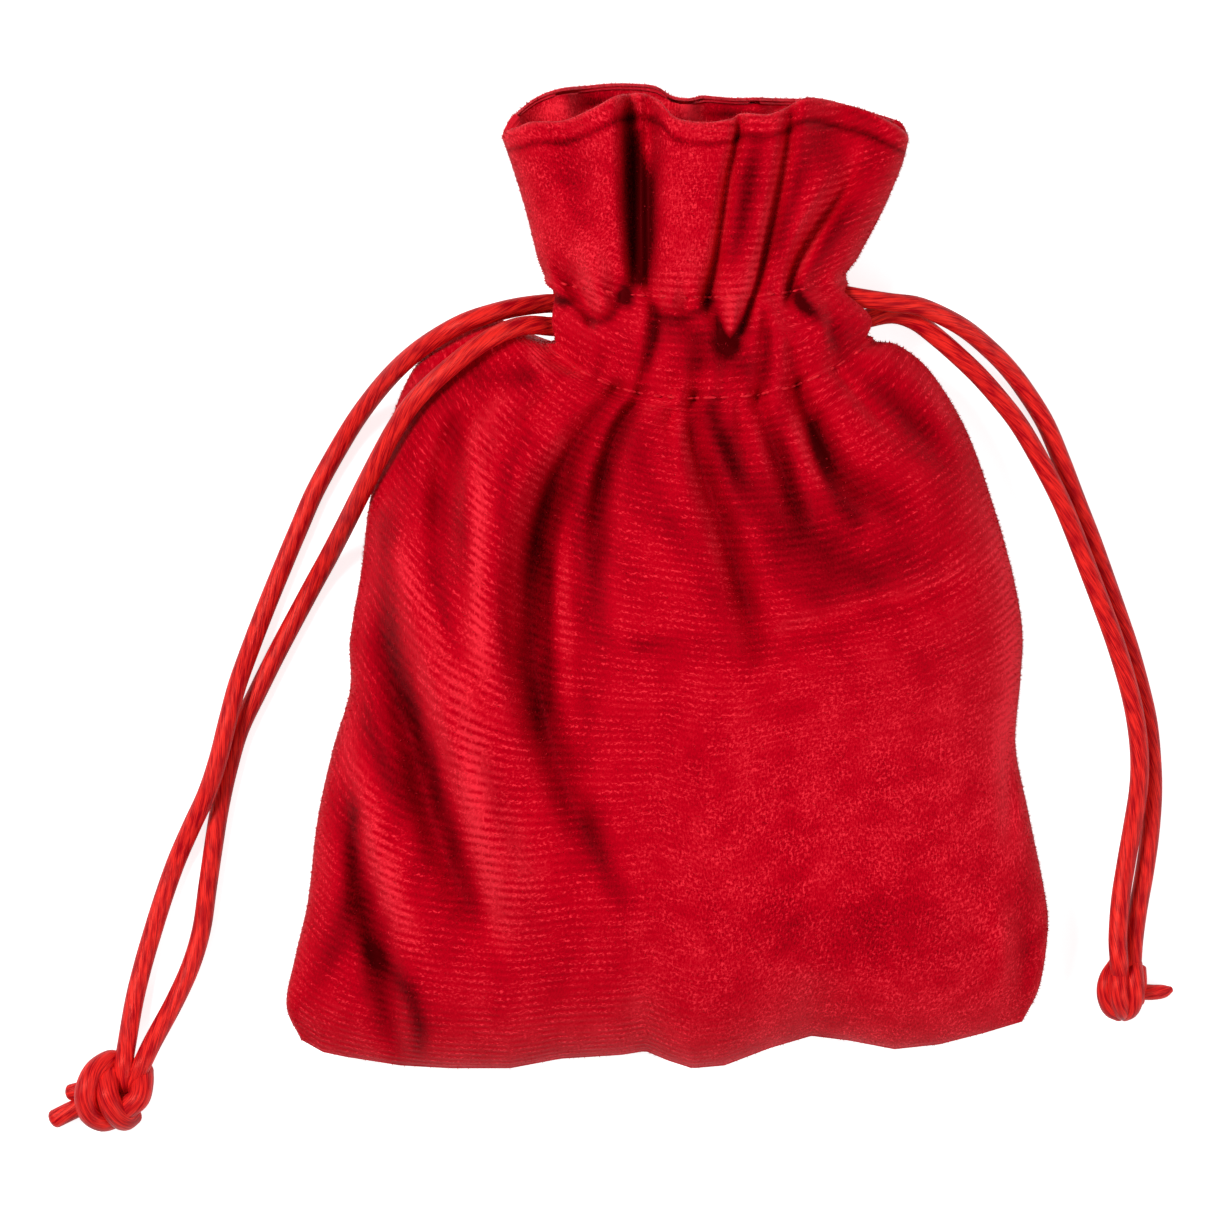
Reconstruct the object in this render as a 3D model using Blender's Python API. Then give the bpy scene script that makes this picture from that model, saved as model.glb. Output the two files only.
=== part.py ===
# Drawstring pouch of knit velvet, lying on its back with its mouth towards +Y and +X to the right.
# Two sewn panels make the bag. The hem is turned inside and sewn down along two lines, which
# makes a casing, and two cords run round in it. Each cord leaves the casing at one side seam,
# where both its ends are tied in one knot.
# Metres, +Z up. The origin is the centre of the bag's footprint, on the surface it lies on.

import math

import bmesh
import bpy
import numpy as np
from mathutils import Matrix, Vector

MM = 0.001

# Cloth, seams and hem
CLOTH_THICKNESS = 0.85 * MM
SEAM_GAP = 0.30 * MM              # between the two panels' edges along the side and bottom seams
GATHER_DEPTH = 1.00 * MM          # what folds and gathers take out of the casing's outer layer
GATHER_COUNT = 9                  # gathers across one panel at the neck
SHOULDER_GATHER = 0.40 * MM       # height of the same gathers where they spread over the shoulder
BOTTOM_ROUND = 15.0 * MM          # length over which each panel rises from the bottom seam

# Cords
CORD_DIAMETER = 2.0 * MM
CORD_CLEARANCE = 0.30 * MM        # between a cord and what it passes
TUNNEL_SPARE = 0.45 * MM          # more room for the cord across the casing, as in a loose hem
SLOT_HALF = 3.3 * MM              # half the unsewn opening in the side seam, across the cloth
CORD_STEP = 6.5 * MM              # between the tube's points on a straight run
CORD_BEND_STEP = math.radians(27) # turn between the tube's points in a bend
LOW_LANE = 13.62                  # stations at which the two cords lie side by side in the casing
HIGH_LANE = 14.40
LANE_END = 0.90                   # how far across a cord keeps to its lane, where it leaves the casing
TURN_END = 0.95                   # the same at the far seam, where it turns round
TURN_IN = 1.5 * MM                # how far that turn is drawn into the bag

# Section of the bag: flat enough on top for a lightly filled pouch, steep at the seams
SECTION_WIDTH_POWER = 2.4
SECTION_HEIGHT_POWER = 2.0
FLOOR_PRESS = 1.5 * MM            # how far the round back would pass the surface that flattens it

# Stations from the bottom seam (0) to the mouth rim, in millimetres:
# left seam x, y; right seam x, y; sag of the front panel's row and of the back panel's row
# towards the bottom, top of the front panel over the floor, height of the seam over the floor.
STATIONS = (
    (-38.3, -48.6, 37.3, -46.7, 0.0, 0.0, 13.0, 3.6),
    (-39.8, -44.9, 39.1, -42.8, 0.0, 0.0, 14.5, 4.6),
    (-38.8, -39.6, 39.9, -37.0, 0.0, 0.0, 16.0, 5.4),
    (-37.5, -33.9, 39.5, -32.8, 0.0, 0.0, 17.5, 6.0),
    (-36.5, -25.5, 37.8, -24.5, 0.0, 0.0, 19.0, 6.2),
    (-34.9, -18.2, 36.5, -17.7, 0.0, 0.0, 20.0, 6.2),
    (-33.1, -11.9, 37.0, -10.9, 0.5, 0.2, 20.6, 6.2),
    (-33.1, -6.7, 37.2, -5.6, 1.0, 0.4, 21.0, 6.2),
    (-31.9, 0.6, 36.1, 0.6, 2.0, 0.7, 21.0, 6.3),
    (-31.0, 7.9, 34.0, 7.9, 3.6, 1.0, 20.6, 6.5),
    (-29.1, 15.3, 31.3, 15.3, 6.3, 1.8, 19.6, 6.9),
    (-26.0, 22.2, 27.6, 21.3, 8.6, 2.9, 18.2, 7.4),
    (-19.9, 27.2, 24.2, 24.1, 9.6, 3.8, 16.9, 7.9),
    (-13.2, 24.2, 21.6, 24.7, 6.0, 1.7, 16.5, 8.1),
    (-12.9, 27.2, 22.2, 27.3, 3.4, 0.8, 17.7, 8.1),
    (-12.7, 30.9, 18.8, 30.9, 2.0, 0.3, 16.1, 8.1),
    (-13.5, 33.3, 20.0, 33.3, 1.4, 0.2, 15.6, 8.0),
    (-14.7, 38.1, 22.4, 37.8, 0.6, 0.2, 15.6, 7.8),
    (-16.2, 43.0, 24.5, 42.7, 0.2, 0.2, 15.8, 7.6),
    (-17.2, 45.8, 25.3, 45.6, 0.0, 0.0, 15.8, 7.6),
)
STITCH_LOW = 13.0                 # station of the casing's lower stitch line
STITCH_HIGH = 15.0                # station of its upper stitch line, the narrowest of the neck
RIM = 19.0
CASING_MARGIN = 0.20              # from each stitch line to where the tunnel starts, in stations

# The bottom seam seen from above, left to right, in millimetres
BOTTOM_EDGE = (
    (-38.3, -48.6), (-36.0, -49.9), (-33.6, -50.4), (-27.9, -51.3), (-22.6, -51.6),
    (-16.4, -51.6), (-11.1, -50.6), (-4.7, -50.2), (-2.2, -49.8), (0.2, -50.8), (2.7, -51.6),
    (6.1, -51.3), (10.8, -49.5), (15.2, -48.2), (19.2, -48.7), (23.9, -49.6), (28.6, -49.1),
    (33.3, -47.9), (37.3, -46.7),
)

# The mouth's edge seen from above, left to right, in millimetres: the front panel's, which goes
# up where it folds inwards, and the back panel's, in two loops
FRONT_RIM = (
    (-17.2, 45.8), (-15.6, 46.1), (-14.0, 46.6), (-10.8, 46.7), (-7.7, 47.9), (-5.0, 49.3), (-2.7, 49.6),
    (-0.9, 48.8), (0.9, 46.9), (4.0, 46.4), (6.7, 46.8), (7.7, 47.4), (10.4, 47.2), (12.2, 47.9), (14.9, 49.1),
    (19.8, 48.2), (23.2, 46.7), (25.3, 45.6),
)
BACK_RIM = (
    (-17.2, 45.8), (-15.7, 47.8), (-12.6, 50.0), (-6.7, 51.0), (-2.6, 51.0), (-0.9, 50.7), (0.5, 49.8),
    (2.0, 49.4), (3.2, 49.6), (4.0, 49.8), (7.7, 49.5), (14.9, 49.4), (19.8, 48.4), (24.0, 47.0), (25.3, 45.6),
)

# Folds in the front panel, each a stroke of points in millimetres:
# x, y, height of the ridge (a valley is negative), half width.
FRONT_FOLDS = (
    # long main valley, from the casing down the left of the belly, steeper on its left
    ((-5.2, 19.2, -2.0, 1.0), (-9.6, 13.6, -3.6, 1.6), (-12.9, 7.0, -4.6, 1.9), (-14.4, -0.6, -4.6, 2.0),
     (-14.3, -8.0, -4.2, 2.0), (-12.8, -15.6, -3.6, 2.0), (-10.0, -23.4, -2.6, 1.9), (-6.6, -31.0, 0.0, 1.6)),
    ((-7.6, 13.0, 0.0, 2.4), (-10.4, 6.0, -2.4, 3.2), (-11.6, -3.0, -2.6, 3.4), (-10.6, -12.0, -2.0, 3.2),
     (-8.0, -22.0, 0.0, 2.6)),
    # full roll of cloth left of the main valley
    ((-13.6, 15.0, 0.0, 1.8), (-17.4, 6.6, 1.2, 2.4), (-18.6, -3.0, 1.6, 2.6), (-18.0, -12.6, 1.2, 2.6),
     (-15.6, -22.6, 0.0, 2.4)),
    # narrow valley beside it
    ((-2.8, 18.9, -1.8, 0.8), (-5.6, 13.6, -2.8, 1.1), (-7.1, 6.8, -2.4, 1.1), (-7.8, -1.0, 0.0, 1.0)),
    # middle valley
    ((2.9, 18.6, -1.2, 0.8), (2.6, 14.8, -2.2, 1.0), (4.0, 9.6, -2.8, 1.2), (6.1, 3.8, -3.2, 1.5),
     (8.0, -2.4, -2.9, 1.5), (9.3, -7.4, -1.2, 1.2), (9.6, -10.0, 0.0, 1.0)),
    # two valleys right of the middle
    ((9.3, 18.6, -1.0, 0.8), (11.0, 13.4, -2.4, 1.1), (12.8, 8.0, -2.0, 1.2), (14.4, 3.4, 0.0, 1.2)),
    ((13.4, 19.6, -1.8, 0.9), (15.4, 15.3, -3.2, 1.3), (17.8, 11.0, -3.2, 1.6), (21.3, 8.2, -1.8, 1.6),
     (25.6, 6.4, 0.0, 1.6)),
    # shallow valley over the right shoulder
    ((20.6, 20.8, -0.4, 1.2), (26.0, 15.8, -1.5, 1.7), (31.2, 9.4, 0.0, 1.8)),
    # ridge and valley of the left shoulder
    ((-13.6, 19.6, 0.0, 1.4), (-18.6, 16.6, 1.2, 1.6), (-20.4, 10.5, 1.4, 1.7), (-20.6, 3.8, 0.0, 1.7)),
    ((-17.4, 19.4, 0.0, 1.2), (-22.2, 14.4, -2.0, 1.5), (-23.6, 7.4, -2.4, 1.5), (-23.2, -1.5, 0.0, 1.4)),
    # long bright ridge down the left side, and the valley outside it
    ((-28.4, 4.5, 0.0, 1.8), (-26.4, -3.4, 2.0, 2.0), (-23.4, -12.4, 3.0, 2.3), (-20.2, -21.4, 3.2, 2.5),
     (-17.0, -30.0, 2.2, 2.4), (-13.6, -38.0, 0.0, 2.2)),
    ((-30.2, -1.6, 0.0, 1.6), (-29.2, -8.8, -2.4, 1.7), (-26.4, -17.4, -3.6, 1.9), (-24.2, -25.6, -3.4, 2.0),
     (-20.6, -34.0, -1.8, 2.0), (-17.0, -40.0, 0.0, 2.0)),
    # lower left: a ridge near the seam, then a valley that runs to the bottom
    ((-33.2, -15.8, 0.0, 1.0), (-31.6, -22.4, 1.6, 1.3), (-29.6, -30.0, 1.6, 1.4), (-27.4, -37.0, 0.0, 1.3)),
    ((-34.0, -20.0, 0.0, 1.3), (-32.6, -29.0, -2.2, 1.4), (-30.6, -37.6, -3.2, 1.6), (-29.6, -44.0, -3.0, 1.6),
     (-28.0, -51.0, -1.6, 1.4)),
    # slack crease across the belly
    ((0.6, -9.2, 0.0, 1.6), (9.8, -7.4, -1.0, 1.7), (19.2, -3.8, -1.1, 1.8), (27.0, -1.9, -0.9, 1.8),
     (35.4, 2.2, 0.0, 1.5)),
    # crease where the front bulges over the right seam
    ((35.6, -14.5, 0.0, 0.9), (35.9, -22.0, -1.8, 1.0), (35.6, -29.0, 0.0, 0.9)),
    # lower right corner: a ridge and a small hollow outside it
    ((33.8, -32.0, 0.0, 1.3), (35.0, -38.0, 1.2, 1.3), (34.8, -45.5, 0.0, 1.2)),
    ((37.2, -34.5, 0.0, 1.0), (37.6, -40.5, -1.4, 1.1), (37.0, -45.0, 0.0, 1.0)),
    # short tucks at the two notches of the bottom edge
    ((-2.4, -49.6, -1.6, 1.6), (-2.9, -43.5, 0.0, 2.2)),
    ((15.4, -48.0, -2.0, 2.4), (15.8, -41.0, 0.0, 3.2)),
)

# Pleats of the front panel above the neck, and their puffed tips that hang over the casing
RUFFLE_FOLDS = (
    # deep fold between the left pleat and the next one, with a floor about as wide as it is deep
    ((-3.9, 50.4, -4.4, 1.0), (-3.8, 44.0, -5.4, 1.0), (-3.7, 37.0, -4.8, 0.9), (-3.5, 33.0, -3.6, 0.8),
     (-3.4, 30.6, -2.4, 0.6), (-3.4, 29.4, 0.0, 0.5)),
    ((-2.0, 50.4, -3.8, 1.1), (-1.9, 44.0, -4.4, 1.1), (-1.9, 37.0, -3.8, 1.0), (-1.9, 33.0, -2.8, 0.8),
     (-2.0, 30.6, -2.0, 0.6), (-2.0, 29.4, 0.0, 0.5)),
    # narrow folds between the other pleats
    ((7.6, 48.6, -1.6, 0.7), (7.3, 45.6, -2.2, 0.6), (6.4, 41.5, -2.4, 0.6), (5.7, 37.0, -2.6, 0.6),
     (5.1, 33.0, -2.6, 0.6), (4.3, 29.3, -2.4, 0.6), (4.4, 27.4, -0.8, 0.5)),
    ((12.9, 48.5, -1.6, 0.8), (12.5, 45.0, -2.4, 0.7), (11.6, 40.0, -2.8, 0.7), (10.7, 35.6, -2.8, 0.7),
     (9.6, 31.0, -2.4, 0.6), (8.4, 27.6, -1.6, 0.5), (7.5, 25.2, -0.8, 0.4)),
    ((20.6, 44.0, 0.0, 0.9), (18.4, 40.2, -1.8, 0.9), (15.4, 36.0, -2.8, 0.9), (13.6, 32.6, -2.8, 0.7),
     (12.7, 29.4, -2.2, 0.5), (12.6, 27.6, 0.0, 0.4)),
    # slack hollow in the face of the left pleat, and the bright ridge of the fourth
    ((-10.6, 47.0, -1.0, 2.0), (-9.6, 41.0, -1.1, 1.8), (-8.9, 36.0, 0.0, 1.4)),
    ((18.8, 46.0, 0.0, 1.2), (16.8, 42.0, 0.9, 1.2), (14.2, 37.5, 0.9, 1.0), (12.2, 33.0, 0.0, 0.8)),
    # the right half of the mouth is pressed nearly flat
    ((19.0, 52.0, -4.6, 4.6), (18.4, 46.0, -3.6, 4.0), (17.0, 40.0, -1.0, 3.2), (16.0, 36.0, 0.0, 2.6)),
    # puffed tips of three pleats, below the upper stitch line, and the hollows beside them
    ((-8.6, 36.0, 0.3, 1.8), (-7.6, 32.5, 1.4, 1.7), (-6.9, 29.6, 2.2, 1.4), (-6.6, 28.0, 2.2, 1.0)),
    ((-12.4, 32.6, 0.0, 0.8), (-11.2, 31.4, -1.2, 0.7), (-9.2, 29.2, -1.8, 0.7), (-8.1, 27.2, -1.6, 0.6),
     (-7.8, 25.4, 0.0, 0.6)),
    ((1.6, 36.0, 0.0, 1.9), (1.6, 32.0, 1.2, 1.9), (1.0, 29.8, 1.8, 1.5), (0.3, 28.4, 1.8, 1.0)),
    ((8.2, 34.0, 0.4, 1.2), (7.4, 30.0, 1.8, 1.3), (6.9, 27.4, 2.2, 1.0), (6.6, 25.6, 2.2, 0.6)),
    ((4.4, 25.8, 0.0, 0.6), (5.6, 23.6, -1.2, 0.7), (7.4, 23.6, -1.2, 0.6), (8.6, 25.2, 0.0, 0.5)),
    # folds in the casing itself
    ((-1.4, 27.8, -0.8, 0.5), (-1.7, 24.6, -1.4, 0.6), (-2.2, 21.6, -1.4, 0.6), (-2.9, 19.4, -0.8, 0.6)),
    ((3.3, 26.4, 0.0, 0.7), (3.3, 22.4, -0.8, 0.8), (3.1, 19.0, -0.6, 0.8)),
    ((10.0, 28.6, 0.0, 0.4), (10.1, 25.0, -1.3, 0.5), (10.0, 21.4, -1.3, 0.5), (9.7, 18.8, -0.8, 0.6)),
    ((12.5, 25.0, 0.0, 0.5), (13.0, 22.8, -1.2, 0.6), (13.6, 20.4, -1.2, 0.7)),
    ((-6.4, 24.6, 0.0, 0.8), (-6.9, 21.4, -1.0, 0.8), (-7.6, 18.6, 0.0, 0.9)),
    ((17.0, 28.4, 0.0, 0.8), (17.4, 25.0, -0.9, 0.8), (18.4, 21.6, 0.0, 0.9)),
)

# Grooves in the back panel, lifted off the surface it lies on: they fan out from the neck
BACK_FOLDS = (
    ((-10.8, 50.0, 3.0, 1.7), (-9.0, 40.0, 2.6, 1.5), (-6.6, 31.0, 1.2, 0.8), (-7.0, 22.0, 1.6, 0.9),
     (-14.0, 8.0, 2.2, 1.6), (-19.0, -6.0, 0.0, 2.2)),
    ((2.2, 51.0, 2.6, 1.1), (1.6, 40.0, 2.4, 1.2), (1.2, 31.0, 1.2, 0.8), (0.6, 22.0, 1.6, 0.9),
     (-2.4, 8.0, 1.8, 1.5), (-3.6, -2.0, 0.0, 1.8)),
    ((9.6, 51.0, 2.4, 1.5), (9.0, 40.0, 2.6, 1.4), (7.4, 31.0, 1.2, 0.8), (8.4, 22.0, 1.6, 0.9),
     (11.6, 8.0, 2.0, 1.6), (12.6, -5.0, 0.0, 2.0)),
    ((18.0, 50.0, 1.8, 1.6), (16.0, 40.0, 2.2, 1.4), (13.0, 31.0, 1.2, 0.8), (14.6, 22.0, 1.6, 0.9),
     (22.0, 9.0, 2.0, 1.6), (28.0, -3.0, 0.0, 2.2)),
)

# Free strands of the two cords, from the side seam to the knot, in millimetres
LEFT_FRONT_STRAND = (
    (-9.5, 25.8, 9.9), (-12.0, 26.0, 9.4), (-14.4, 26.1, 11.6), (-16.7, 25.5, 13.4), (-19.2, 24.2, 14.1),
    (-21.4, 22.6, 14.2), (-24.0, 20.4, 14.0), (-26.4, 18.0, 13.5), (-28.2, 15.4, 12.7), (-29.9, 12.4, 11.6),
    (-31.7, 9.0, 9.2), (-33.7, 5.2, 5.4), (-35.5, 1.9, 2.4), (-37.4, -1.5, 1.15), (-40.7, -7.7, 1.05),
    (-42.8, -11.9, 1.05), (-44.8, -16.1, 1.05), (-46.0, -20.2, 1.05), (-46.9, -24.3, 1.05),
    (-47.6, -28.7, 1.05), (-48.2, -32.8, 1.05), (-48.8, -37.0, 1.05), (-49.9, -40.8, 1.2),
    (-51.6, -44.6, 1.6), (-53.9, -48.9, 2.3),
)
LEFT_BACK_STRAND = (
    (-10.2, 28.3, 6.9), (-12.0, 28.5, 7.0), (-15.2, 28.1, 9.2), (-18.0, 27.4, 11.5), (-21.0, 26.4, 12.0),
    (-24.0, 24.8, 11.1), (-26.6, 23.0, 9.0), (-29.0, 20.8, 6.2), (-31.4, 18.0, 3.4), (-33.6, 14.8, 1.6),
    (-36.7, 9.3, 1.05), (-38.6, 5.0, 1.05), (-40.2, 1.2, 1.05), (-42.0, -3.2, 1.1), (-43.6, -7.4, 1.6),
    (-45.0, -11.4, 2.7), (-46.0, -15.2, 3.35), (-47.0, -19.2, 3.4), (-48.2, -22.8, 3.2),
    (-49.8, -26.2, 2.0), (-51.4, -29.8, 1.1), (-52.7, -33.4, 1.05), (-53.9, -37.2, 1.05),
    (-55.0, -41.0, 1.1), (-55.9, -44.8, 1.5), (-56.6, -49.1, 2.3),
)
RIGHT_FRONT_STRAND = (
    (18.1, 29.4, 8.8), (20.8, 28.9, 9.1), (23.6, 28.5, 8.6), (26.2, 28.2, 7.8), (28.8, 27.2, 6.6),
    (31.2, 25.9, 5.2), (33.4, 24.2, 3.6), (35.6, 22.1, 2.2), (37.6, 19.6, 1.3), (39.8, 16.1, 1.05),
    (41.5, 12.1, 1.05), (43.1, 7.9, 1.05), (44.7, 3.8, 1.05), (46.2, -0.4, 1.05), (47.6, -4.4, 1.05),
    (48.7, -7.7, 1.05), (49.8, -11.7, 1.05), (50.6, -15.3, 1.05), (51.0, -19.2, 1.05),
    (51.1, -22.9, 1.05), (50.8, -27.1, 1.05), (50.2, -31.3, 1.05), (49.6, -34.6, 1.2), (49.1, -38.0, 1.6),
)
RIGHT_BACK_STRAND = (
    (18.9, 26.5, 6.5), (20.8, 26.9, 6.2), (23.6, 27.4, 5.9), (26.0, 26.7, 5.4), (28.3, 25.0, 5.2),
    (30.6, 23.0, 4.9), (32.8, 20.9, 4.6), (35.0, 18.4, 4.3), (37.0, 15.8, 4.0), (39.3, 11.9, 3.6),
    (41.4, 7.8, 3.4), (43.0, 3.9, 3.35), (44.6, -0.3, 3.35), (46.0, -4.0, 3.35), (47.2, -7.4, 3.35),
    (48.4, -11.4, 3.35), (49.2, -15.1, 3.35), (49.6, -18.9, 3.3), (49.5, -22.3, 3.2),
    (48.9, -26.2, 2.9), (48.2, -30.2, 2.9), (47.6, -34.0, 3.2), (47.3, -37.9, 3.9),
)

# Knots, as strokes of points in millimetres: x, y, z and the stroke's radius.
# The first two of each are the last of the strands, the next ones the wraps, then the cut tails.
LEFT_KNOT = (
    ((-54.8, -50.6, 2.7, 1.0), (-55.7, -52.4, 3.0, 1.0)),
    ((-56.9, -50.7, 2.8, 1.0), (-57.0, -52.6, 3.0, 1.0)),
    ((-57.9, -50.9, 2.4, 0.9), (-59.9, -51.6, 3.4, 1.0), (-61.1, -53.8, 4.2, 1.0), (-60.9, -55.8, 3.8, 1.0),
     (-59.4, -57.2, 2.6, 1.0), (-57.4, -56.6, 1.6, 1.0)),
    ((-58.8, -52.4, 3.0, 1.0), (-59.0, -54.2, 4.6, 1.0), (-58.2, -56.2, 4.2, 1.0), (-57.0, -56.9, 3.0, 1.1)),
    ((-55.6, -52.0, 2.2, 1.0), (-54.9, -53.4, 3.2, 1.0), (-55.3, -55.0, 3.6, 1.0), (-56.9, -56.4, 2.6, 1.1)),
    ((-60.2, -52.8, 2.0, 1.0), (-57.4, -53.6, 1.5, 1.2), (-56.0, -54.2, 1.6, 1.1)),
    ((-59.6, -54.6, 2.4, 1.4), (-57.0, -54.8, 2.4, 1.5)),
    ((-60.6, -53.9, 1.8, 0.9), (-62.3, -54.1, 1.5, 0.9)),
    ((-60.6, -55.2, 1.9, 1.0), (-62.6, -56.2, 1.4, 1.0), (-64.0, -57.0, 1.2, 1.0)),
)
RIGHT_KNOT = (
    ((49.0, -39.6, 2.1, 1.0), (48.7, -41.4, 2.4, 1.0)),
    ((47.2, -39.7, 3.6, 1.0), (47.5, -41.6, 3.4, 1.0)),
    ((47.0, -41.8, 2.6, 1.0), (46.2, -43.6, 2.8, 1.0), (47.0, -45.6, 2.4, 1.0)),
    ((48.0, -41.6, 3.3, 1.1), (47.9, -43.8, 3.9, 1.1), (47.8, -45.6, 2.9, 1.0)),
    ((49.0, -41.2, 2.8, 0.9), (49.5, -43.4, 2.9, 0.9), (48.6, -45.4, 2.4, 1.0)),
    ((46.9, -42.8, 1.6, 1.2), (48.6, -44.2, 1.6, 1.2)),
    ((47.9, -42.8, 2.4, 1.6), (47.9, -44.4, 2.3, 1.6)),
    ((49.6, -43.6, 1.9, 0.85), (51.2, -43.7, 1.4, 0.8), (52.7, -43.5, 1.1, 0.55)),
)
KNOT_GRAIN = 0.28 * MM            # size of the detail kept where strokes meet
KNOT_TRIANGLES = 640

# Mesh density of a panel
FRONT_COLUMNS = 40
BACK_COLUMNS = 24
FRONT_ROWS_BELOW = (
    0.0, 0.12, 0.32, 0.6, 1.0, 1.5, 2.1, 2.7, 3.3, 3.9, 4.5, 5.2, 6.0, 6.8, 7.5, 8.1, 8.7, 9.2, 9.7,
    10.1, 10.5, 10.9, 11.3, 11.7, 12.1, 12.6,
)
FRONT_ROWS_ABOVE = (15.3, 15.7, 16.2, 16.8, 17.4, 18.0, 18.5, 19.0)
BACK_ROWS_BELOW = (0.0, 0.15, 0.4, 0.8, 1.4, 2.2, 3.4, 5.0, 7.0, 8.4, 9.6, 10.6, 11.5, 12.3)
BACK_ROWS_ABOVE = (15.5, 16.2, 17.2, 18.2, 19.0)
TUNNEL_ROWS = 6

VELVET_COLOUR = (0.52, 0.004, 0.012, 1.0)
SATIN_COLOUR = (0.80, 0.018, 0.020, 1.0)


def smooth_curve(values, position):
    # Catmull-Rom curve through evenly spaced rows of values, read at fractional positions
    values = np.asarray(values, dtype=float)
    position = np.clip(np.asarray(position, dtype=float), 0.0, len(values) - 1.0)
    index = np.minimum(position.astype(int), len(values) - 2)
    t = (position - index)[..., None]
    padded = np.concatenate([[2 * values[0] - values[1]], values, [2 * values[-1] - values[-2]]])
    before, start, end, after = (padded[index + k] for k in range(4))
    return 0.5 * (2 * start + (end - before) * t + (2 * before - 5 * start + 4 * end - after) * t ** 2
                  + (3 * start - before - 3 * end + after) * t ** 3)


def smooth_step(low, high, value):
    t = np.clip((value - low) / (high - low), 0.0, 1.0)
    return t * t * (3.0 - 2.0 * t)


def fold_height(folds, x, y):
    # Sum of the strokes' heights at each point: a round ridge or valley along each stroke
    total = np.zeros_like(x)
    for fold in folds:
        samples = smooth_curve(fold, np.linspace(0, len(fold) - 1, 6 * len(fold))) * MM
        start, end = samples[:-1], samples[1:]
        run = end[:, :2] - start[:, :2]
        px = x[..., None] - start[:, 0]
        py = y[..., None] - start[:, 1]
        t = np.clip((px * run[:, 0] + py * run[:, 1]) / (run ** 2).sum(axis=1), 0.0, 1.0)
        away = np.hypot(px - t * run[:, 0], py - t * run[:, 1])
        nearest = away.argmin(axis=-1)[..., None]
        t = np.take_along_axis(t, nearest, -1)[..., 0]
        away = np.take_along_axis(away, nearest, -1)[..., 0]
        nearest = nearest[..., 0]
        height = start[nearest, 2] + t * (end[nearest, 2] - start[nearest, 2])
        width = start[nearest, 3] + t * (end[nearest, 3] - start[nearest, 3])
        total += height * np.exp(-(away / width) ** 2)
    return total


def casing_share(station):
    # 1 in the middle of the casing, 0 at its stitch lines and beyond
    middle = (STITCH_LOW + STITCH_HIGH) / 2
    half = (STITCH_HIGH - STITCH_LOW) / 2
    return np.clip(1.0 - (np.abs(station - middle) / half) ** 4, 0.0, 1.0)


def tunnel_height():
    return CORD_DIAMETER + 2 * CORD_CLEARANCE + TUNNEL_SPARE


def layer_depths(station):
    # Depths below the outer surface: tunnel's outer wall, tunnel's inner wall, inside of the bag
    share = casing_share(station)
    hemmed = smooth_step(STITCH_LOW - 0.35, STITCH_LOW, station)
    outer = CLOTH_THICKNESS + GATHER_DEPTH * share
    inner = outer + tunnel_height() * share
    return outer, inner, inner + CLOTH_THICKNESS * hemmed


def gathers(across, station):
    # Even small gathers that start at the neck and fade down the shoulder
    reach = smooth_step(8.8, 12.4, station) * (1.0 - smooth_step(15.2, 16.6, station))
    in_casing = casing_share(station)
    height = SHOULDER_GATHER * (1.0 - in_casing) + 0.25 * GATHER_DEPTH * in_casing
    wave = np.cos(math.pi * GATHER_COUNT * (across + 0.05 * np.sin(5.0 * across)))
    return height * reach * wave


def rim_rise(edge, share):
    # How far the mouth's edge stands over the straight line between its two ends
    fine = smooth_curve(edge, np.linspace(0, len(edge) - 1, 8 * len(edge))) * MM
    along = (fine[:, 0] - fine[0, 0]) / (fine[-1, 0] - fine[0, 0])
    return np.interp(share, along, fine[:, 1] - fine[0, 1] - (fine[-1, 1] - fine[0, 1]) * along)


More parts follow.
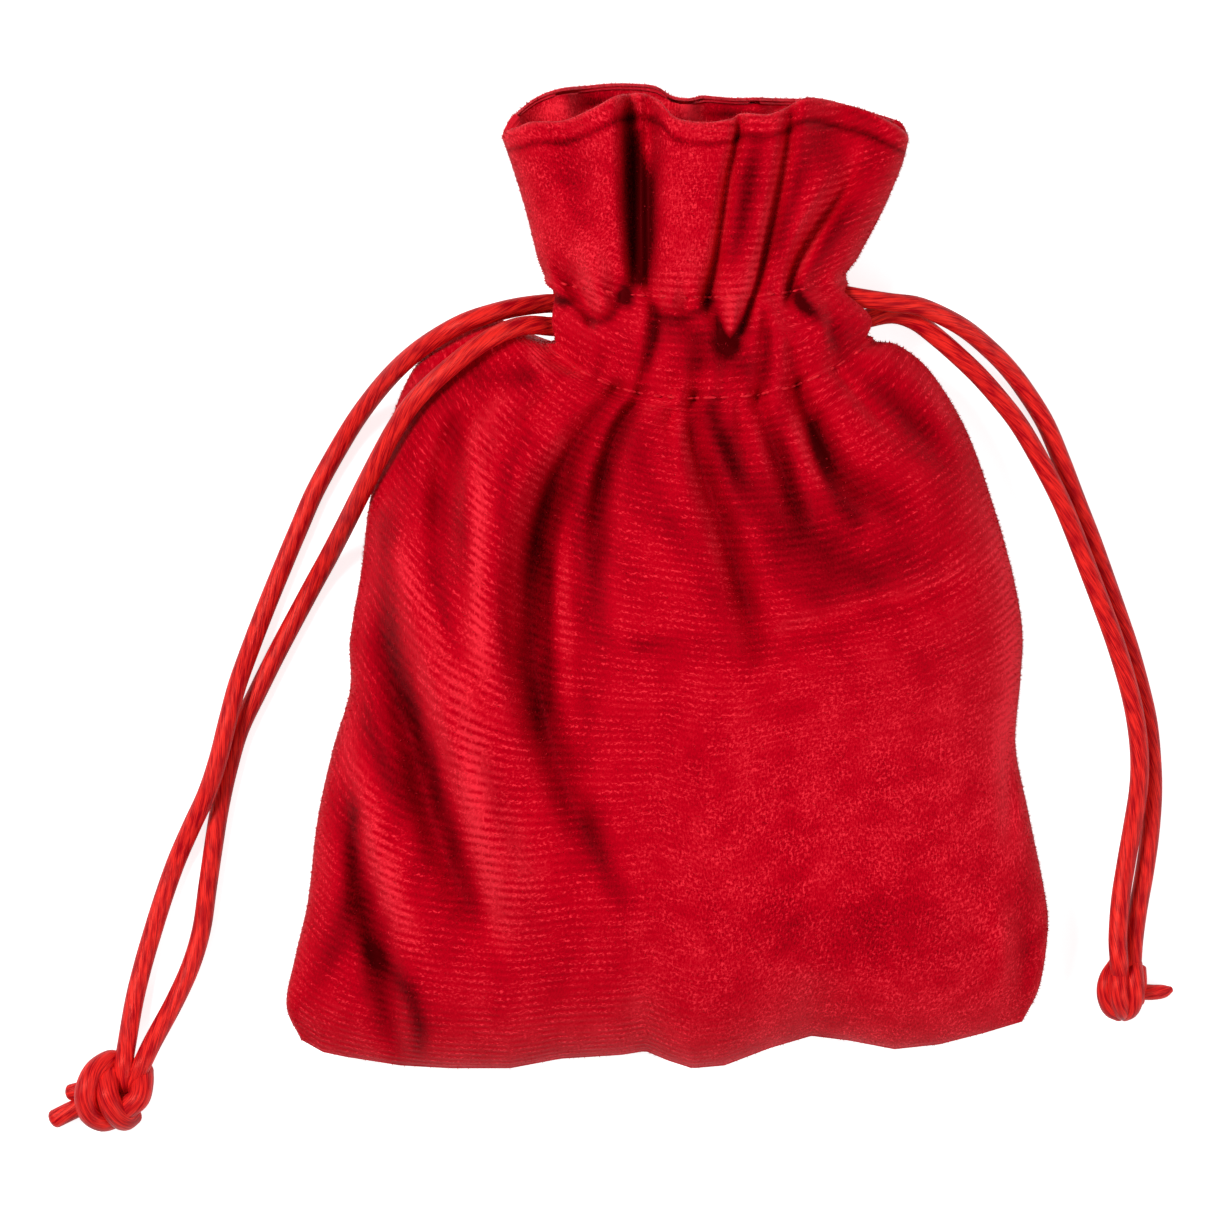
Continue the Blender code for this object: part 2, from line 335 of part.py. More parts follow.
def surface(side, across, station, depth, folded=True, trim=True):
    # Points of a panel. across runs from -1 at the left seam to 1 at the right seam, station
    # from 0 at the bottom seam to the rim, and depth is measured into the bag.
    across, station, depth = np.broadcast_arrays(
        np.asarray(across, dtype=float), np.asarray(station, dtype=float), np.asarray(depth, dtype=float))
    rows = smooth_curve(STATIONS, station)
    left_x, left_y, right_x, right_y, front_sag, back_sag, crown, seam = (
        rows[..., k] * MM for k in range(8))
    front = side > 0
    rise = crown - seam if front else seam + FLOOR_PRESS
    rise = rise - SEAM_GAP / 2
    if trim:
        slot = SLOT_HALF * smooth_step(STITCH_LOW + 0.05, STITCH_LOW + 0.4, station)
        slot = slot * (1.0 - smooth_step(STITCH_HIGH - 0.3, STITCH_HIGH - 0.02, station))
        reach = (1.0 - np.clip(slot / rise, 0.0, 0.9) ** SECTION_HEIGHT_POWER) ** (1.0 / SECTION_WIDTH_POWER)
        across = across * reach
    arch = np.clip(1.0 - np.abs(across) ** SECTION_WIDTH_POWER, 0.0, 1.0) ** (1.0 / SECTION_HEIGHT_POWER)

    x = (left_x + right_x) / 2 + ((right_x - left_x) / 2 - depth) * across
    share = (x - left_x) / (right_x - left_x)
    sag = front_sag if front else back_sag
    y = left_y + (right_y - left_y) * share - sag * (1.0 - np.abs(across) ** 2.5)

    # Near the bottom the rows follow the bottom seam
    edge = np.asarray(BOTTOM_EDGE) * MM
    first = np.asarray(STATIONS[0]) * MM
    first_share = (x - first[0]) / (first[2] - first[0])
    straight = first[1] + (first[3] - first[1]) * first_share
    bulge = np.interp(x, edge[:, 0], edge[:, 1]) - straight
    bottom = straight + bulge
    y = y + bulge * np.clip(1.0 - station / 3.0, 0.0, 1.0) ** 2
    climb = np.clip((y - bottom) / BOTTOM_ROUND, 0.0, 1.0)
    lift = np.sqrt(1.0 - (1.0 - climb) ** 2)
    y = y + depth * (1.0 - climb)

    # Towards the mouth they follow its edge
    y = y + rim_rise(FRONT_RIM if front else BACK_RIM, share) * smooth_step(STITCH_HIGH + 0.5, RIM, station)

    # Folds fade out at the seams, and only the outer layer of the casing takes the gathers
    swell = np.zeros_like(x)
    if folded:
        near_seam = np.clip(1.3 * arch * lift, 0.0, 1.0)
        folds = fold_height(FRONT_FOLDS + RUFFLE_FOLDS, x, y) if front else fold_height(BACK_FOLDS, x, y)
        ripple = gathers(across, station)
        swell = (folds + (ripple if front else np.abs(ripple))) * near_seam
        in_casing = casing_share(station)
        outermost = depth < 0.5 * CLOTH_THICKNESS
        if front:
            held = np.maximum(swell, -0.9 * GATHER_DEPTH)
            inside = np.where(swell < 0, swell, swell * (1.0 - smooth_step(11.5, 13.0, station)
                                                         * (1.0 - smooth_step(15.0, 17.0, station))))
        else:
            held = np.minimum(swell, 0.9 * GATHER_DEPTH)
            inside = swell
        swell = np.where(outermost, swell + (held - swell) * in_casing, inside * (1.0 - in_casing))

    if front:
        z = seam + SEAM_GAP / 2 + (rise - depth) * lift * arch + swell
    else:
        z = seam - SEAM_GAP / 2 - (rise - depth) * lift * arch
        z = np.maximum(z, depth) + swell
    return np.stack([x, y, z], axis=-1)


def column_places(count):
    # Columns stand closer together near the two seams, where the section turns down
    u = np.linspace(0.0, 1.0, count + 1)
    return 0.6 * -np.cos(math.pi * u) + 0.4 * (2.0 * u - 1.0)


def panel_mesh(name, side, columns, rows_below, rows_above):
    # One panel as a closed wall: outer surface, inner surface, rim, edges and the casing tunnel
    across = column_places(columns)[None, :]
    tunnel_rows = np.linspace(STITCH_LOW + CASING_MARGIN, STITCH_HIGH - CASING_MARGIN, TUNNEL_ROWS)
    rows = [*rows_below, STITCH_LOW, *tunnel_rows, STITCH_HIGH, *rows_above]
    station = np.asarray(rows)[:, None]
    tunnel_outer, tunnel_inner, inside = layer_depths(station)
    outer_points = surface(side, across, station, 0.0)
    inner_points = surface(side, across, station, inside)
    rim_depth = inside[-1:]
    rim_points = surface(side, across, station[-1:], 0.5 * rim_depth)
    rim_points[..., 1] += 0.35 * rim_depth
    first = len(rows_below) + 1
    last = first + TUNNEL_ROWS - 1
    in_tunnel = slice(first, last + 1)
    outer_wall = surface(side, across, station[in_tunnel], tunnel_outer[in_tunnel])
    inner_wall = surface(side, across, station[in_tunnel], tunnel_inner[in_tunnel])

    mesh = bmesh.new()

    def add_grid(points):
        return [[mesh.verts.new(point) for point in row] for row in points]

    outer = add_grid(outer_points)
    inner = add_grid(inner_points)
    rim = add_grid(rim_points)[0]
    tunnel_top = add_grid(outer_wall)
    tunnel_bottom = add_grid(inner_wall)

    def skin(grid, flipped):
        for low, high in zip(grid, grid[1:]):
            for i in range(columns):
                corners = [low[i], low[i + 1], high[i + 1], high[i]]
                mesh.faces.new(corners[::-1] if flipped else corners)

    front = side > 0
    skin(outer, not front)
    skin(inner, front)
    skin([outer[-1], rim, inner[-1]], not front)
    skin([inner[0], outer[0]], not front)
    skin(tunnel_top, front)
    skin(tunnel_bottom, not front)
    skin([tunnel_top[0], tunnel_bottom[0]], not front)
    skin([tunnel_bottom[-1], tunnel_top[-1]], not front)

    for i, flipped in ((0, front), (columns, not front)):
        for j in range(len(rows) - 1):
            if first <= j < last:
                k = j - first
                loops = [[outer[j][i], outer[j + 1][i], tunnel_top[k + 1][i], tunnel_top[k][i]],
                         [tunnel_bottom[k][i], tunnel_bottom[k + 1][i], inner[j + 1][i], inner[j][i]]]
            elif j == first - 1:
                loops = [[outer[j][i], outer[j + 1][i], tunnel_top[0][i], tunnel_bottom[0][i],
                          inner[j + 1][i], inner[j][i]]]
            elif j == last:
                loops = [[outer[j][i], outer[j + 1][i], inner[j + 1][i], inner[j][i],
                          tunnel_bottom[-1][i], tunnel_top[-1][i]]]
            else:
                loops = [[outer[j][i], outer[j + 1][i], inner[j + 1][i], inner[j][i]]]
            for loop in loops:
                mesh.faces.new(loop if flipped else loop[::-1])
        end = [outer[-1][i], rim[i], inner[-1][i]]
        mesh.faces.new(end if flipped else end[::-1])

    bmesh.ops.triangulate(mesh, faces=mesh.faces[:])
    data = bpy.data.meshes.new(name)
    mesh.to_mesh(data)
    mesh.free()
    return data


def lane_points(side, across, station):
    # Centre line of a cord that keeps to its lane inside the casing
    tunnel_outer, tunnel_inner, _ = layer_depths(np.asarray(station, dtype=float))
    middle = (tunnel_outer + tunnel_inner) / 2
    return surface(side, across, station, middle, folded=False, trim=False)


def casing_run(exit_side, front_lane, back_lane):
    # Round the neck from the front casing's end to the back casing's, both at exit_side. The cord
    # changes from one lane to the other where it turns round the far seam.
    places = exit_side * np.array([LANE_END, 0.75, 0.5, 0.25, 0.0, -0.25, -0.5, -0.75, -0.88, -TURN_END])
    front_run = lane_points(1, places, front_lane)
    back_run = lane_points(-1, places[::-1], back_lane)
    turn = lane_points(1, -exit_side, (front_lane + back_lane) / 2)
    turn = np.array([turn[0] + exit_side * TURN_IN, (front_run[-1, 1] + back_run[0, 1]) / 2, turn[2]])
    return np.concatenate([front_run, turn[None, :], back_run])


def cord_route(front_strand, back_strand, exit_side, front_lane, back_lane):
    # Knot, front strand, round the casing, back strand, knot: one smooth line, resampled so that
    # its points stand closer together where it bends
    guide = np.concatenate([
        np.asarray(front_strand)[::-1] * MM,
        casing_run(exit_side, front_lane, back_lane),
        np.asarray(back_strand) * MM,
    ])
    fine = smooth_curve(guide, np.linspace(0, len(guide) - 1, 30 * len(guide)))
    runs = np.diff(fine, axis=0)
    lengths = np.linalg.norm(runs, axis=1)
    headings = runs / lengths[:, None]
    bends = np.concatenate([[0.0], np.arccos(np.clip((headings[1:] * headings[:-1]).sum(axis=1), -1, 1))])
    effort = np.concatenate([[0.0], np.cumsum(lengths / CORD_STEP + bends / CORD_BEND_STEP)])
    stops = np.linspace(0.0, effort[-1], round(effort[-1]) + 1)
    return np.stack([np.interp(stops, effort, fine[:, k]) for k in range(3)], axis=1)


def add_cord(name, points, material):
    curve = bpy.data.curves.new(name, "CURVE")
    curve.dimensions = "3D"
    curve.bevel_depth = CORD_DIAMETER / 2
    curve.bevel_resolution = 2
    curve.use_fill_caps = True
    line = curve.splines.new("POLY")
    line.points.add(len(points) - 1)
    for place, point in zip(line.points, points):
        place.co = (*point, 1.0)
    return add_object(name, curve, material)


def add_object(name, data, material):
    thing = bpy.data.objects.new(name, data)
    thing.data.materials.append(material)
    bpy.context.scene.collection.objects.link(thing)
    return thing


def add_knot(name, strokes, material):
    # A row of balls along each stroke, grown together into one closed skin
    mesh = bmesh.new()
    for stroke in strokes:
        length = np.linalg.norm(np.diff(np.asarray(stroke)[:, :3], axis=0), axis=1).sum()
        for x, y, z, radius in smooth_curve(stroke, np.linspace(0, len(stroke) - 1, round(length / 0.3))):
            bmesh.ops.create_icosphere(mesh, subdivisions=3, radius=radius * MM,
                                       matrix=Matrix.Translation(Vector((x, y, z)) * MM))
    balls = bpy.data.meshes.new("balls")
    mesh.to_mesh(balls)
    mesh.free()
    blank = bpy.data.objects.new("balls", balls)
    bpy.context.scene.collection.objects.link(blank)
    skin = blank.modifiers.new("skin", "REMESH")
    skin.mode = "VOXEL"
    skin.voxel_size = KNOT_GRAIN
    grown = bpy.data.meshes.new_from_object(blank.evaluated_get(bpy.context.evaluated_depsgraph_get()))
    blank.modifiers.remove(skin)
    blank.data = grown
    soften = blank.modifiers.new("soften", "SMOOTH")
    soften.iterations = 3
    thin = blank.modifiers.new("thin", "DECIMATE")
    thin.ratio = KNOT_TRIANGLES / (2 * len(grown.polygons))
    data = bpy.data.meshes.new_from_object(blank.evaluated_get(bpy.context.evaluated_depsgraph_get()))
    data.name = name
    bpy.data.objects.remove(blank, do_unlink=True)
    bpy.data.meshes.remove(balls)
    bpy.data.meshes.remove(grown)
    return add_object(name, data, material)


def make_material(name, colour, roughness):
    material = bpy.data.materials.new(name)
    material.use_nodes = True
    shader = material.node_tree.nodes["Principled BSDF"]
    shader.inputs["Base Color"].default_value = colour
    shader.inputs["Roughness"].default_value = roughness
    shader.inputs["Metallic"].default_value = 0.0
    return material


def clear_scene():
    for thing in list(bpy.data.objects):
        bpy.data.objects.remove(thing, do_unlink=True)


def main():
    clear_scene()
    velvet = make_material("red_velvet", VELVET_COLOUR, 0.9)
    front_mesh = panel_mesh("front_panel", 1, FRONT_COLUMNS, FRONT_ROWS_BELOW, FRONT_ROWS_ABOVE)
    back_mesh = panel_mesh("back_panel", -1, BACK_COLUMNS, BACK_ROWS_BELOW, BACK_ROWS_ABOVE)
    front = add_object("front_panel", front_mesh, velvet)
    back = add_object("back_panel", back_mesh, velvet)
    for panel in (front, back):
        panel.data.shade_smooth()
        panel.data.set_sharp_from_angle(angle=math.radians(50))

    satin = make_material("red_satin", SATIN_COLOUR, 0.35)
    add_cord("left_drawstring",
             cord_route(LEFT_FRONT_STRAND, LEFT_BACK_STRAND, -1.0, LOW_LANE, HIGH_LANE), satin)
    add_cord("right_drawstring",
             cord_route(RIGHT_FRONT_STRAND, RIGHT_BACK_STRAND, 1.0, HIGH_LANE, LOW_LANE), satin)
    for name, strokes in (("left_knot", LEFT_KNOT), ("right_knot", RIGHT_KNOT)):
        add_knot(name, strokes, satin).data.shade_smooth()


main()
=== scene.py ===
import math

import bpy
import numpy as np
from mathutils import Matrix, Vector


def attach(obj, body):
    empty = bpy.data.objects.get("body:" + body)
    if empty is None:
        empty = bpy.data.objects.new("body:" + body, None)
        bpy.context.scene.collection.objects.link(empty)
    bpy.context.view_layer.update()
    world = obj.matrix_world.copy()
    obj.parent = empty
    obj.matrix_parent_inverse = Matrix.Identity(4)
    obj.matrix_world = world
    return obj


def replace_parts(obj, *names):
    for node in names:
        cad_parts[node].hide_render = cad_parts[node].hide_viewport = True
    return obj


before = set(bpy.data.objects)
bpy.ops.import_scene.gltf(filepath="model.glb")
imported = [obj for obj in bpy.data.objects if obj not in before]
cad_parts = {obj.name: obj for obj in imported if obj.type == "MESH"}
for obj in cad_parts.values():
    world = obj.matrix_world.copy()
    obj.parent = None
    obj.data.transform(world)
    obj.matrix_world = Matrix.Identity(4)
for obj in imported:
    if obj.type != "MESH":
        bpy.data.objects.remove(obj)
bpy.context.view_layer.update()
mm = 0.001

# shared curves and meshes


def smoothCurve(values, position):
    # Catmull-Rom curve through evenly spaced rows of values, read at fractional positions
    values = np.asarray(values, dtype=float)
    position = np.clip(np.asarray(position, dtype=float), 0.0, len(values) - 1.0)
    index = np.minimum(position.astype(int), len(values) - 2)
    t = (position - index)[..., None]
    padded = np.concatenate([[2 * values[0] - values[1]], values, [2 * values[-1] - values[-2]]])
    before, start, end, after = (padded[index + k] for k in range(4))
    return 0.5 * (2 * start + (end - before) * t + (2 * before - 5 * start + 4 * end - after) * t ** 2
                  + (3 * start - before - 3 * end + after) * t ** 3)


def smoothStep(low, high, value):
    t = np.clip((value - low) / (high - low), 0.0, 1.0)
    return t * t * (3.0 - 2.0 * t)


def evenPath(guide, step):
    # The smooth curve through the guide points, with a point about every step
    fine = smoothCurve(guide, np.linspace(0, len(guide) - 1, 40 * len(guide)))
    length = np.concatenate([[0.0], np.cumsum(np.linalg.norm(np.diff(fine[:, :3], axis=0), axis=1))])
    stops = np.linspace(0.0, length[-1], max(2, round(length[-1] / step) + 1))
    return np.stack([np.interp(stops, length, fine[:, k]) for k in range(fine.shape[1])], axis=1)


def pathLength(points):
    return float(np.linalg.norm(np.diff(np.asarray(points)[:, :3], axis=0), axis=1).sum())


def buildMesh(name, points, faces, uvs=None, attributes=None):
    # uvs is one (u, v) per face corner; attributes holds one value per vertex
    data = bpy.data.meshes.new(name)
    data.from_pydata([tuple(p) for p in points], [], faces)
    if uvs is not None:
        layer = data.uv_layers.new(name="cloth")
        layer.data.foreach_set("uv", np.asarray(uvs, dtype=np.float32).ravel())
    for key, values in (attributes or {}).items():
        field = data.attributes.new(key, "FLOAT", "POINT")
        field.data.foreach_set("value", np.asarray(values, dtype=np.float32).ravel())
    data.polygons.foreach_set("use_smooth", [True] * len(data.polygons))
    data.update()
    return data


def addPiece(name, data, material, body="root"):
    piece = bpy.data.objects.new(name, data)
    piece.data.materials.append(material)
    bpy.context.scene.collection.objects.link(piece)
    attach(piece, body)
    return piece


def tubeGrid(path, radii, sides, firstVertex, flatten=1.0):
    # Rings round a path with frames carried along it, closed with a domed cap at each end
    path = np.asarray(path)
    tangents = np.gradient(path, axis=0)
    tangents /= np.linalg.norm(tangents, axis=1)[:, None]
    normal = np.cross(tangents[0], [0.0, 0.0, 1.0])
    normal /= np.linalg.norm(normal)
    normals = [normal]
    for tangent in tangents[1:]:
        normal = normal - tangent * normal.dot(tangent)
        normal /= np.linalg.norm(normal)
        normals.append(normal)
    normals = np.asarray(normals)
    binormals = np.cross(tangents, normals)
    radii = np.broadcast_to(radii, len(path))
    along = np.concatenate([[0.0], np.cumsum(np.linalg.norm(np.diff(path, axis=0), axis=1))])
    capSteps = np.radians([75, 50, 25])
    rings = [(path[0] - tangents[0] * radii[0] * 0.6 * math.sin(a), normals[0], binormals[0],
              radii[0] * math.cos(a), along[0]) for a in capSteps]
    rings += list(zip(path, normals, binormals, radii, along))
    rings += [(path[-1] + tangents[-1] * radii[-1] * 0.6 * math.sin(a), normals[-1], binormals[-1],
               radii[-1] * math.cos(a), along[-1]) for a in capSteps[::-1]]
    turn = np.linspace(0, 2 * math.pi, sides, endpoint=False)
    points = [path[0] - tangents[0] * radii[0] * 0.6]
    for centre, across, up, radius, _ in rings:
        points.extend(centre + radius * (np.cos(turn)[:, None] * across + flatten * np.sin(turn)[:, None] * up))
    points.append(path[-1] + tangents[-1] * radii[-1] * 0.6)
    faces, uvs = [], []
    girth = 2 * math.pi * float(radii.mean()) / mm
    ringStart = firstVertex + 1
    for j in range(len(rings) - 1):
        low, high = rings[j][4] / mm, rings[j + 1][4] / mm
        for i in range(sides):
            k = (i + 1) % sides
            base, nextBase = ringStart + j * sides, ringStart + (j + 1) * sides
            faces.append((base + i, base + k, nextBase + k, nextBase + i))
            left, right = girth * i / sides, girth * (i + 1) / sides
            uvs += [(left, low), (right, low), (right, high), (left, high)]
    last = firstVertex + len(points) - 1
    lastRing = ringStart + (len(rings) - 1) * sides
    for i in range(sides):
        k = (i + 1) % sides
        left, right = girth * i / sides, girth * (i + 1) / sides
        faces.append((firstVertex, ringStart + k, ringStart + i))
        uvs += [(left, 0.0), (right, 0.0), (left, 0.0)]
        faces.append((last, lastRing + i, lastRing + k))
        uvs += [(left, along[-1] / mm), (left, along[-1] / mm), (right, along[-1] / mm)]
    return points, faces, uvs


def tubesMesh(name, tubes, sides):
    # One mesh from several tubes: (path, radii, flatten) each
    points, faces, uvs = [], [], []
    for path, radii, flatten in tubes:
        newPoints, newFaces, newUvs = tubeGrid(path, radii, sides, len(points), flatten)
        points += list(newPoints)
        faces += newFaces
        uvs += newUvs
    return buildMesh(name, points, faces, uvs)


# shader helpers


def addNode(tree, kind, inputs=None, **settings):
    made = tree.nodes.new(kind)
    for key, value in settings.items():
        setattr(made, key, value)
    for key, value in (inputs or {}).items():
        socket = made.inputs[key]
        if isinstance(value, bpy.types.NodeSocket):
            tree.links.new(value, socket)
        else:
            socket.default_value = value
    return made


def maths(tree, operation, *values, clamp=False):
    made = addNode(tree, "ShaderNodeMath", dict(enumerate(values)), operation=operation, use_clamp=clamp)
    return made.outputs[0]


def mixColour(tree, factor, first, second, mode="MIX"):
    made = addNode(tree, "ShaderNodeMix", data_type="RGBA", blend_type=mode)
    for socket, value in ((made.inputs[0], factor), (made.inputs[6], first), (made.inputs[7], second)):
        if isinstance(value, bpy.types.NodeSocket):
            tree.links.new(value, socket)
        else:
            socket.default_value = value
    return made.outputs[2]


def newMaterial(name):
    material = bpy.data.materials.new(name)
    material.use_nodes = True
    tree = material.node_tree
    return material, tree, tree.nodes["Principled BSDF"]


def newGroup(name, inputs, outputs):
    # A shader node group with named sockets: (name, socket type, default)
    tree = bpy.data.node_groups.new(name, "ShaderNodeTree")
    for label, kind, value in inputs:
        socket = tree.interface.new_socket(name=label, in_out="INPUT", socket_type=kind)
        if value is not None:
            socket.default_value = value
    for label, kind in outputs:
        tree.interface.new_socket(name=label, in_out="OUTPUT", socket_type=kind)
    entry = tree.nodes.new("NodeGroupInput")
    finish = tree.nodes.new("NodeGroupOutput")
    return tree, entry, finish


# camera

camera = {
    "centre": (-6.12 * mm, -3.35 * mm),
    "focusHeight": 6.0 * mm,
    "distance": 1.2,
    "frameWidth": 127.2 * mm,
    "sensor": 36.0,
}
cameraData = bpy.data.cameras.new("camera")
cameraData.sensor_width = camera["sensor"]
cameraData.lens = camera["sensor"] * camera["distance"] / camera["frameWidth"]
cameraData.clip_start = 0.01
cameraData.clip_end = 10.0
cameraObject = bpy.data.objects.new("camera", cameraData)
cameraObject.location = (*camera["centre"], camera["focusHeight"] + camera["distance"])
bpy.context.scene.collection.objects.link(cameraObject)
bpy.context.scene.camera = cameraObject
print("camera placed")

# satin of the cords


def satinGroup():
    # Fine fibres that run along the cord with a slight slant: colour factor and height
    tree, entry, finish = newGroup(
        "satinFibres",
        [("Cloth", "NodeSocketVector", None), ("Slant", "NodeSocketFloat", 0.28),
         ("Fibre size", "NodeSocketFloat", 5.0)],
        [("Streak", "NodeSocketFloat"), ("Height", "NodeSocketFloat")])
    split = addNode(tree, "ShaderNodeSeparateXYZ", {0: entry.outputs["Cloth"]})
    slanted = maths(tree, "MULTIPLY_ADD", split.outputs[1], entry.outputs["Slant"], split.outputs[0])
    across = maths(tree, "MULTIPLY", slanted, entry.outputs["Fibre size"])
    along = maths(tree, "MULTIPLY", split.outputs[1], 0.45)
    place = addNode(tree, "ShaderNodeCombineXYZ", {0: across, 1: along})
    fine = addNode(tree, "ShaderNodeTexNoise", {"Vector": place.outputs[0], "Scale": 1.0, "Detail": 3.0,
                                                "Roughness": 0.6}, noise_dimensions="2D")
    wideAcross = maths(tree, "MULTIPLY", slanted, 2.2)
    widePlace = addNode(tree, "ShaderNodeCombineXYZ", {0: wideAcross, 1: maths(tree, "MULTIPLY", along, 0.7)})
    wide = addNode(tree, "ShaderNodeTexNoise", {"Vector": widePlace.outputs[0], "Scale": 1.0, "Detail": 1.0},
                   noise_dimensions="2D")
    streak = maths(tree, "MULTIPLY_ADD", fine.outputs[0], 0.65, maths(tree, "MULTIPLY", wide.outputs[0], 0.35))
    tree.links.new(streak, finish.inputs["Streak"])
    tree.links.new(fine.outputs[0], finish.inputs["Height"])
    return tree


satinFibres = satinGroup()


def satinMaterial(name, look):
    material, tree, shader = newMaterial(name)
    uv = addNode(tree, "ShaderNodeUVMap", uv_map="cloth")
    fibres = addNode(tree, "ShaderNodeGroup", node_tree=satinFibres)
    tree.links.new(uv.outputs[0], fibres.inputs["Cloth"])
    fibres.inputs["Slant"].default_value = look["slant"]
    fibres.inputs["Fibre size"].default_value = look["fibreSize"]
    contrast = addNode(tree, "ShaderNodeMapRange",
                       {0: fibres.outputs["Streak"], 1: look["streakLow"], 2: look["streakHigh"]})
    colour = mixColour(tree, contrast.outputs[0], look["dark"], look["bright"])
    bump = addNode(tree, "ShaderNodeBump", {"Height": fibres.outputs["Height"], "Strength": look["bump"],
                                            "Distance": 0.06 * mm})
    tree.links.new(colour, shader.inputs["Base Color"])
    tree.links.new(bump.outputs[0], shader.inputs["Normal"])
    shader.inputs["Roughness"].default_value = look["roughness"]
    shader.inputs["Specular IOR Level"].default_value = look["specular"]
    shader.inputs["Specular Tint"].default_value = look["specularTint"]
    shader.inputs["Sheen Weight"].default_value = look["sheen"]
    shader.inputs["Sheen Tint"].default_value = look["bright"]
    return material


satin = satinMaterial("redSatin", {
    "slant": 0.22, "fibreSize": 9.0, "streakLow": 0.40, "streakHigh": 0.60,
    "dark": (0.38, 0.000, 0.008, 1.0), "bright": (0.96, 0.026, 0.020, 1.0),
    "bump": 0.7, "roughness": 0.30, "specular": 0.6, "specularTint": (1.0, 0.16, 0.12, 1.0), "sheen": 0.0,
})
print("satin ready")

# Cloth of the bag: stations from the bottom seam (0) to the mouth rim, in millimetres, as in the
# solids: left seam x, y; right seam x, y; front sag, back sag, crown height, seam height
bag = {
    "thickness": 0.85 * mm,
    "seamGap": 0.30 * mm,
    "gatherDepth": 1.00 * mm,
    "gatherCount": 9,
    "shoulderGather": 0.40 * mm,
    "bottomRound": 15.0 * mm,
    "tunnel": 3.05 * mm,
    "slotHalf": 3.3 * mm,
    "widthPower": 2.4,
    "heightPower": 2.0,
    "floorPress": 1.5 * mm,
    "stitchLow": 13.0,
    "stitchHigh": 15.0,
    "rim": 19.0,
    "stations": (
        (-38.3, -48.6, 37.3, -46.7, 0.0, 0.0, 13.0, 3.6),
        (-39.8, -44.9, 39.1, -42.8, 0.0, 0.0, 14.5, 4.6),
        (-38.8, -39.6, 39.9, -37.0, 0.0, 0.0, 16.0, 5.4),
        (-37.5, -33.9, 39.5, -32.8, 0.0, 0.0, 17.5, 6.0),
        (-36.5, -25.5, 37.8, -24.5, 0.0, 0.0, 19.0, 6.2),
        (-34.9, -18.2, 36.5, -17.7, 0.0, 0.0, 20.0, 6.2),
        (-33.1, -11.9, 37.0, -10.9, 0.5, 0.2, 20.6, 6.2),
        (-33.1, -6.7, 37.2, -5.6, 1.0, 0.4, 21.0, 6.2),
        (-31.9, 0.6, 36.1, 0.6, 2.0, 0.7, 21.0, 6.3),
        (-31.0, 7.9, 34.0, 7.9, 3.6, 1.0, 20.6, 6.5),
        (-29.1, 15.3, 31.3, 15.3, 6.3, 1.8, 19.6, 6.9),
        (-26.0, 22.2, 27.6, 21.3, 8.6, 2.9, 18.2, 7.4),
        (-19.9, 27.2, 24.2, 24.1, 9.6, 3.8, 16.9, 7.9),
        (-13.2, 24.2, 21.6, 24.7, 6.0, 1.7, 16.5, 8.1),
        (-12.9, 27.2, 22.2, 27.3, 3.4, 0.8, 17.7, 8.1),
        (-12.7, 30.9, 18.8, 30.9, 2.0, 0.3, 16.1, 8.1),
        (-13.5, 33.3, 20.0, 33.3, 1.4, 0.2, 15.6, 8.0),
        (-14.7, 38.1, 22.4, 37.8, 0.6, 0.2, 15.6, 7.8),
        (-16.2, 43.0, 24.5, 42.7, 0.2, 0.2, 15.8, 7.6),
        (-17.2, 45.8, 25.3, 45.6, 0.0, 0.0, 15.8, 7.6),
    ),
    "bottomEdge": (
        (-38.3, -48.6), (-36.0, -49.9), (-33.6, -50.4), (-27.9, -51.3), (-22.6, -51.6),
        (-16.4, -51.6), (-11.1, -50.6), (-4.7, -50.2), (-2.2, -49.8), (0.2, -50.8), (2.7, -51.6),
        (6.1, -51.3), (10.8, -49.5), (15.2, -48.2), (19.2, -48.7), (23.9, -49.6), (28.6, -49.1),
        (33.3, -47.9), (37.3, -46.7),
    ),
    "frontRim": (
        (-17.2, 45.8), (-15.6, 46.1), (-14.0, 46.6), (-10.8, 46.7), (-7.7, 47.9), (-5.0, 49.3), (-2.7, 49.6),
        (-0.9, 48.8), (0.9, 46.9), (4.0, 46.4), (6.7, 46.8), (7.7, 47.4), (10.4, 47.2), (12.2, 47.9), (14.9, 49.1),
        (19.8, 48.2), (23.2, 46.7), (25.3, 45.6),
    ),
    "backRim": (
        (-17.2, 45.8), (-15.7, 47.8), (-12.6, 50.0), (-6.7, 51.0), (-2.6, 51.0), (-0.9, 50.7), (0.5, 49.8),
        (2.0, 49.4), (3.2, 49.6), (4.0, 49.8), (7.7, 49.5), (14.9, 49.4), (19.8, 48.4), (24.0, 47.0), (25.3, 45.6),
    ),
}

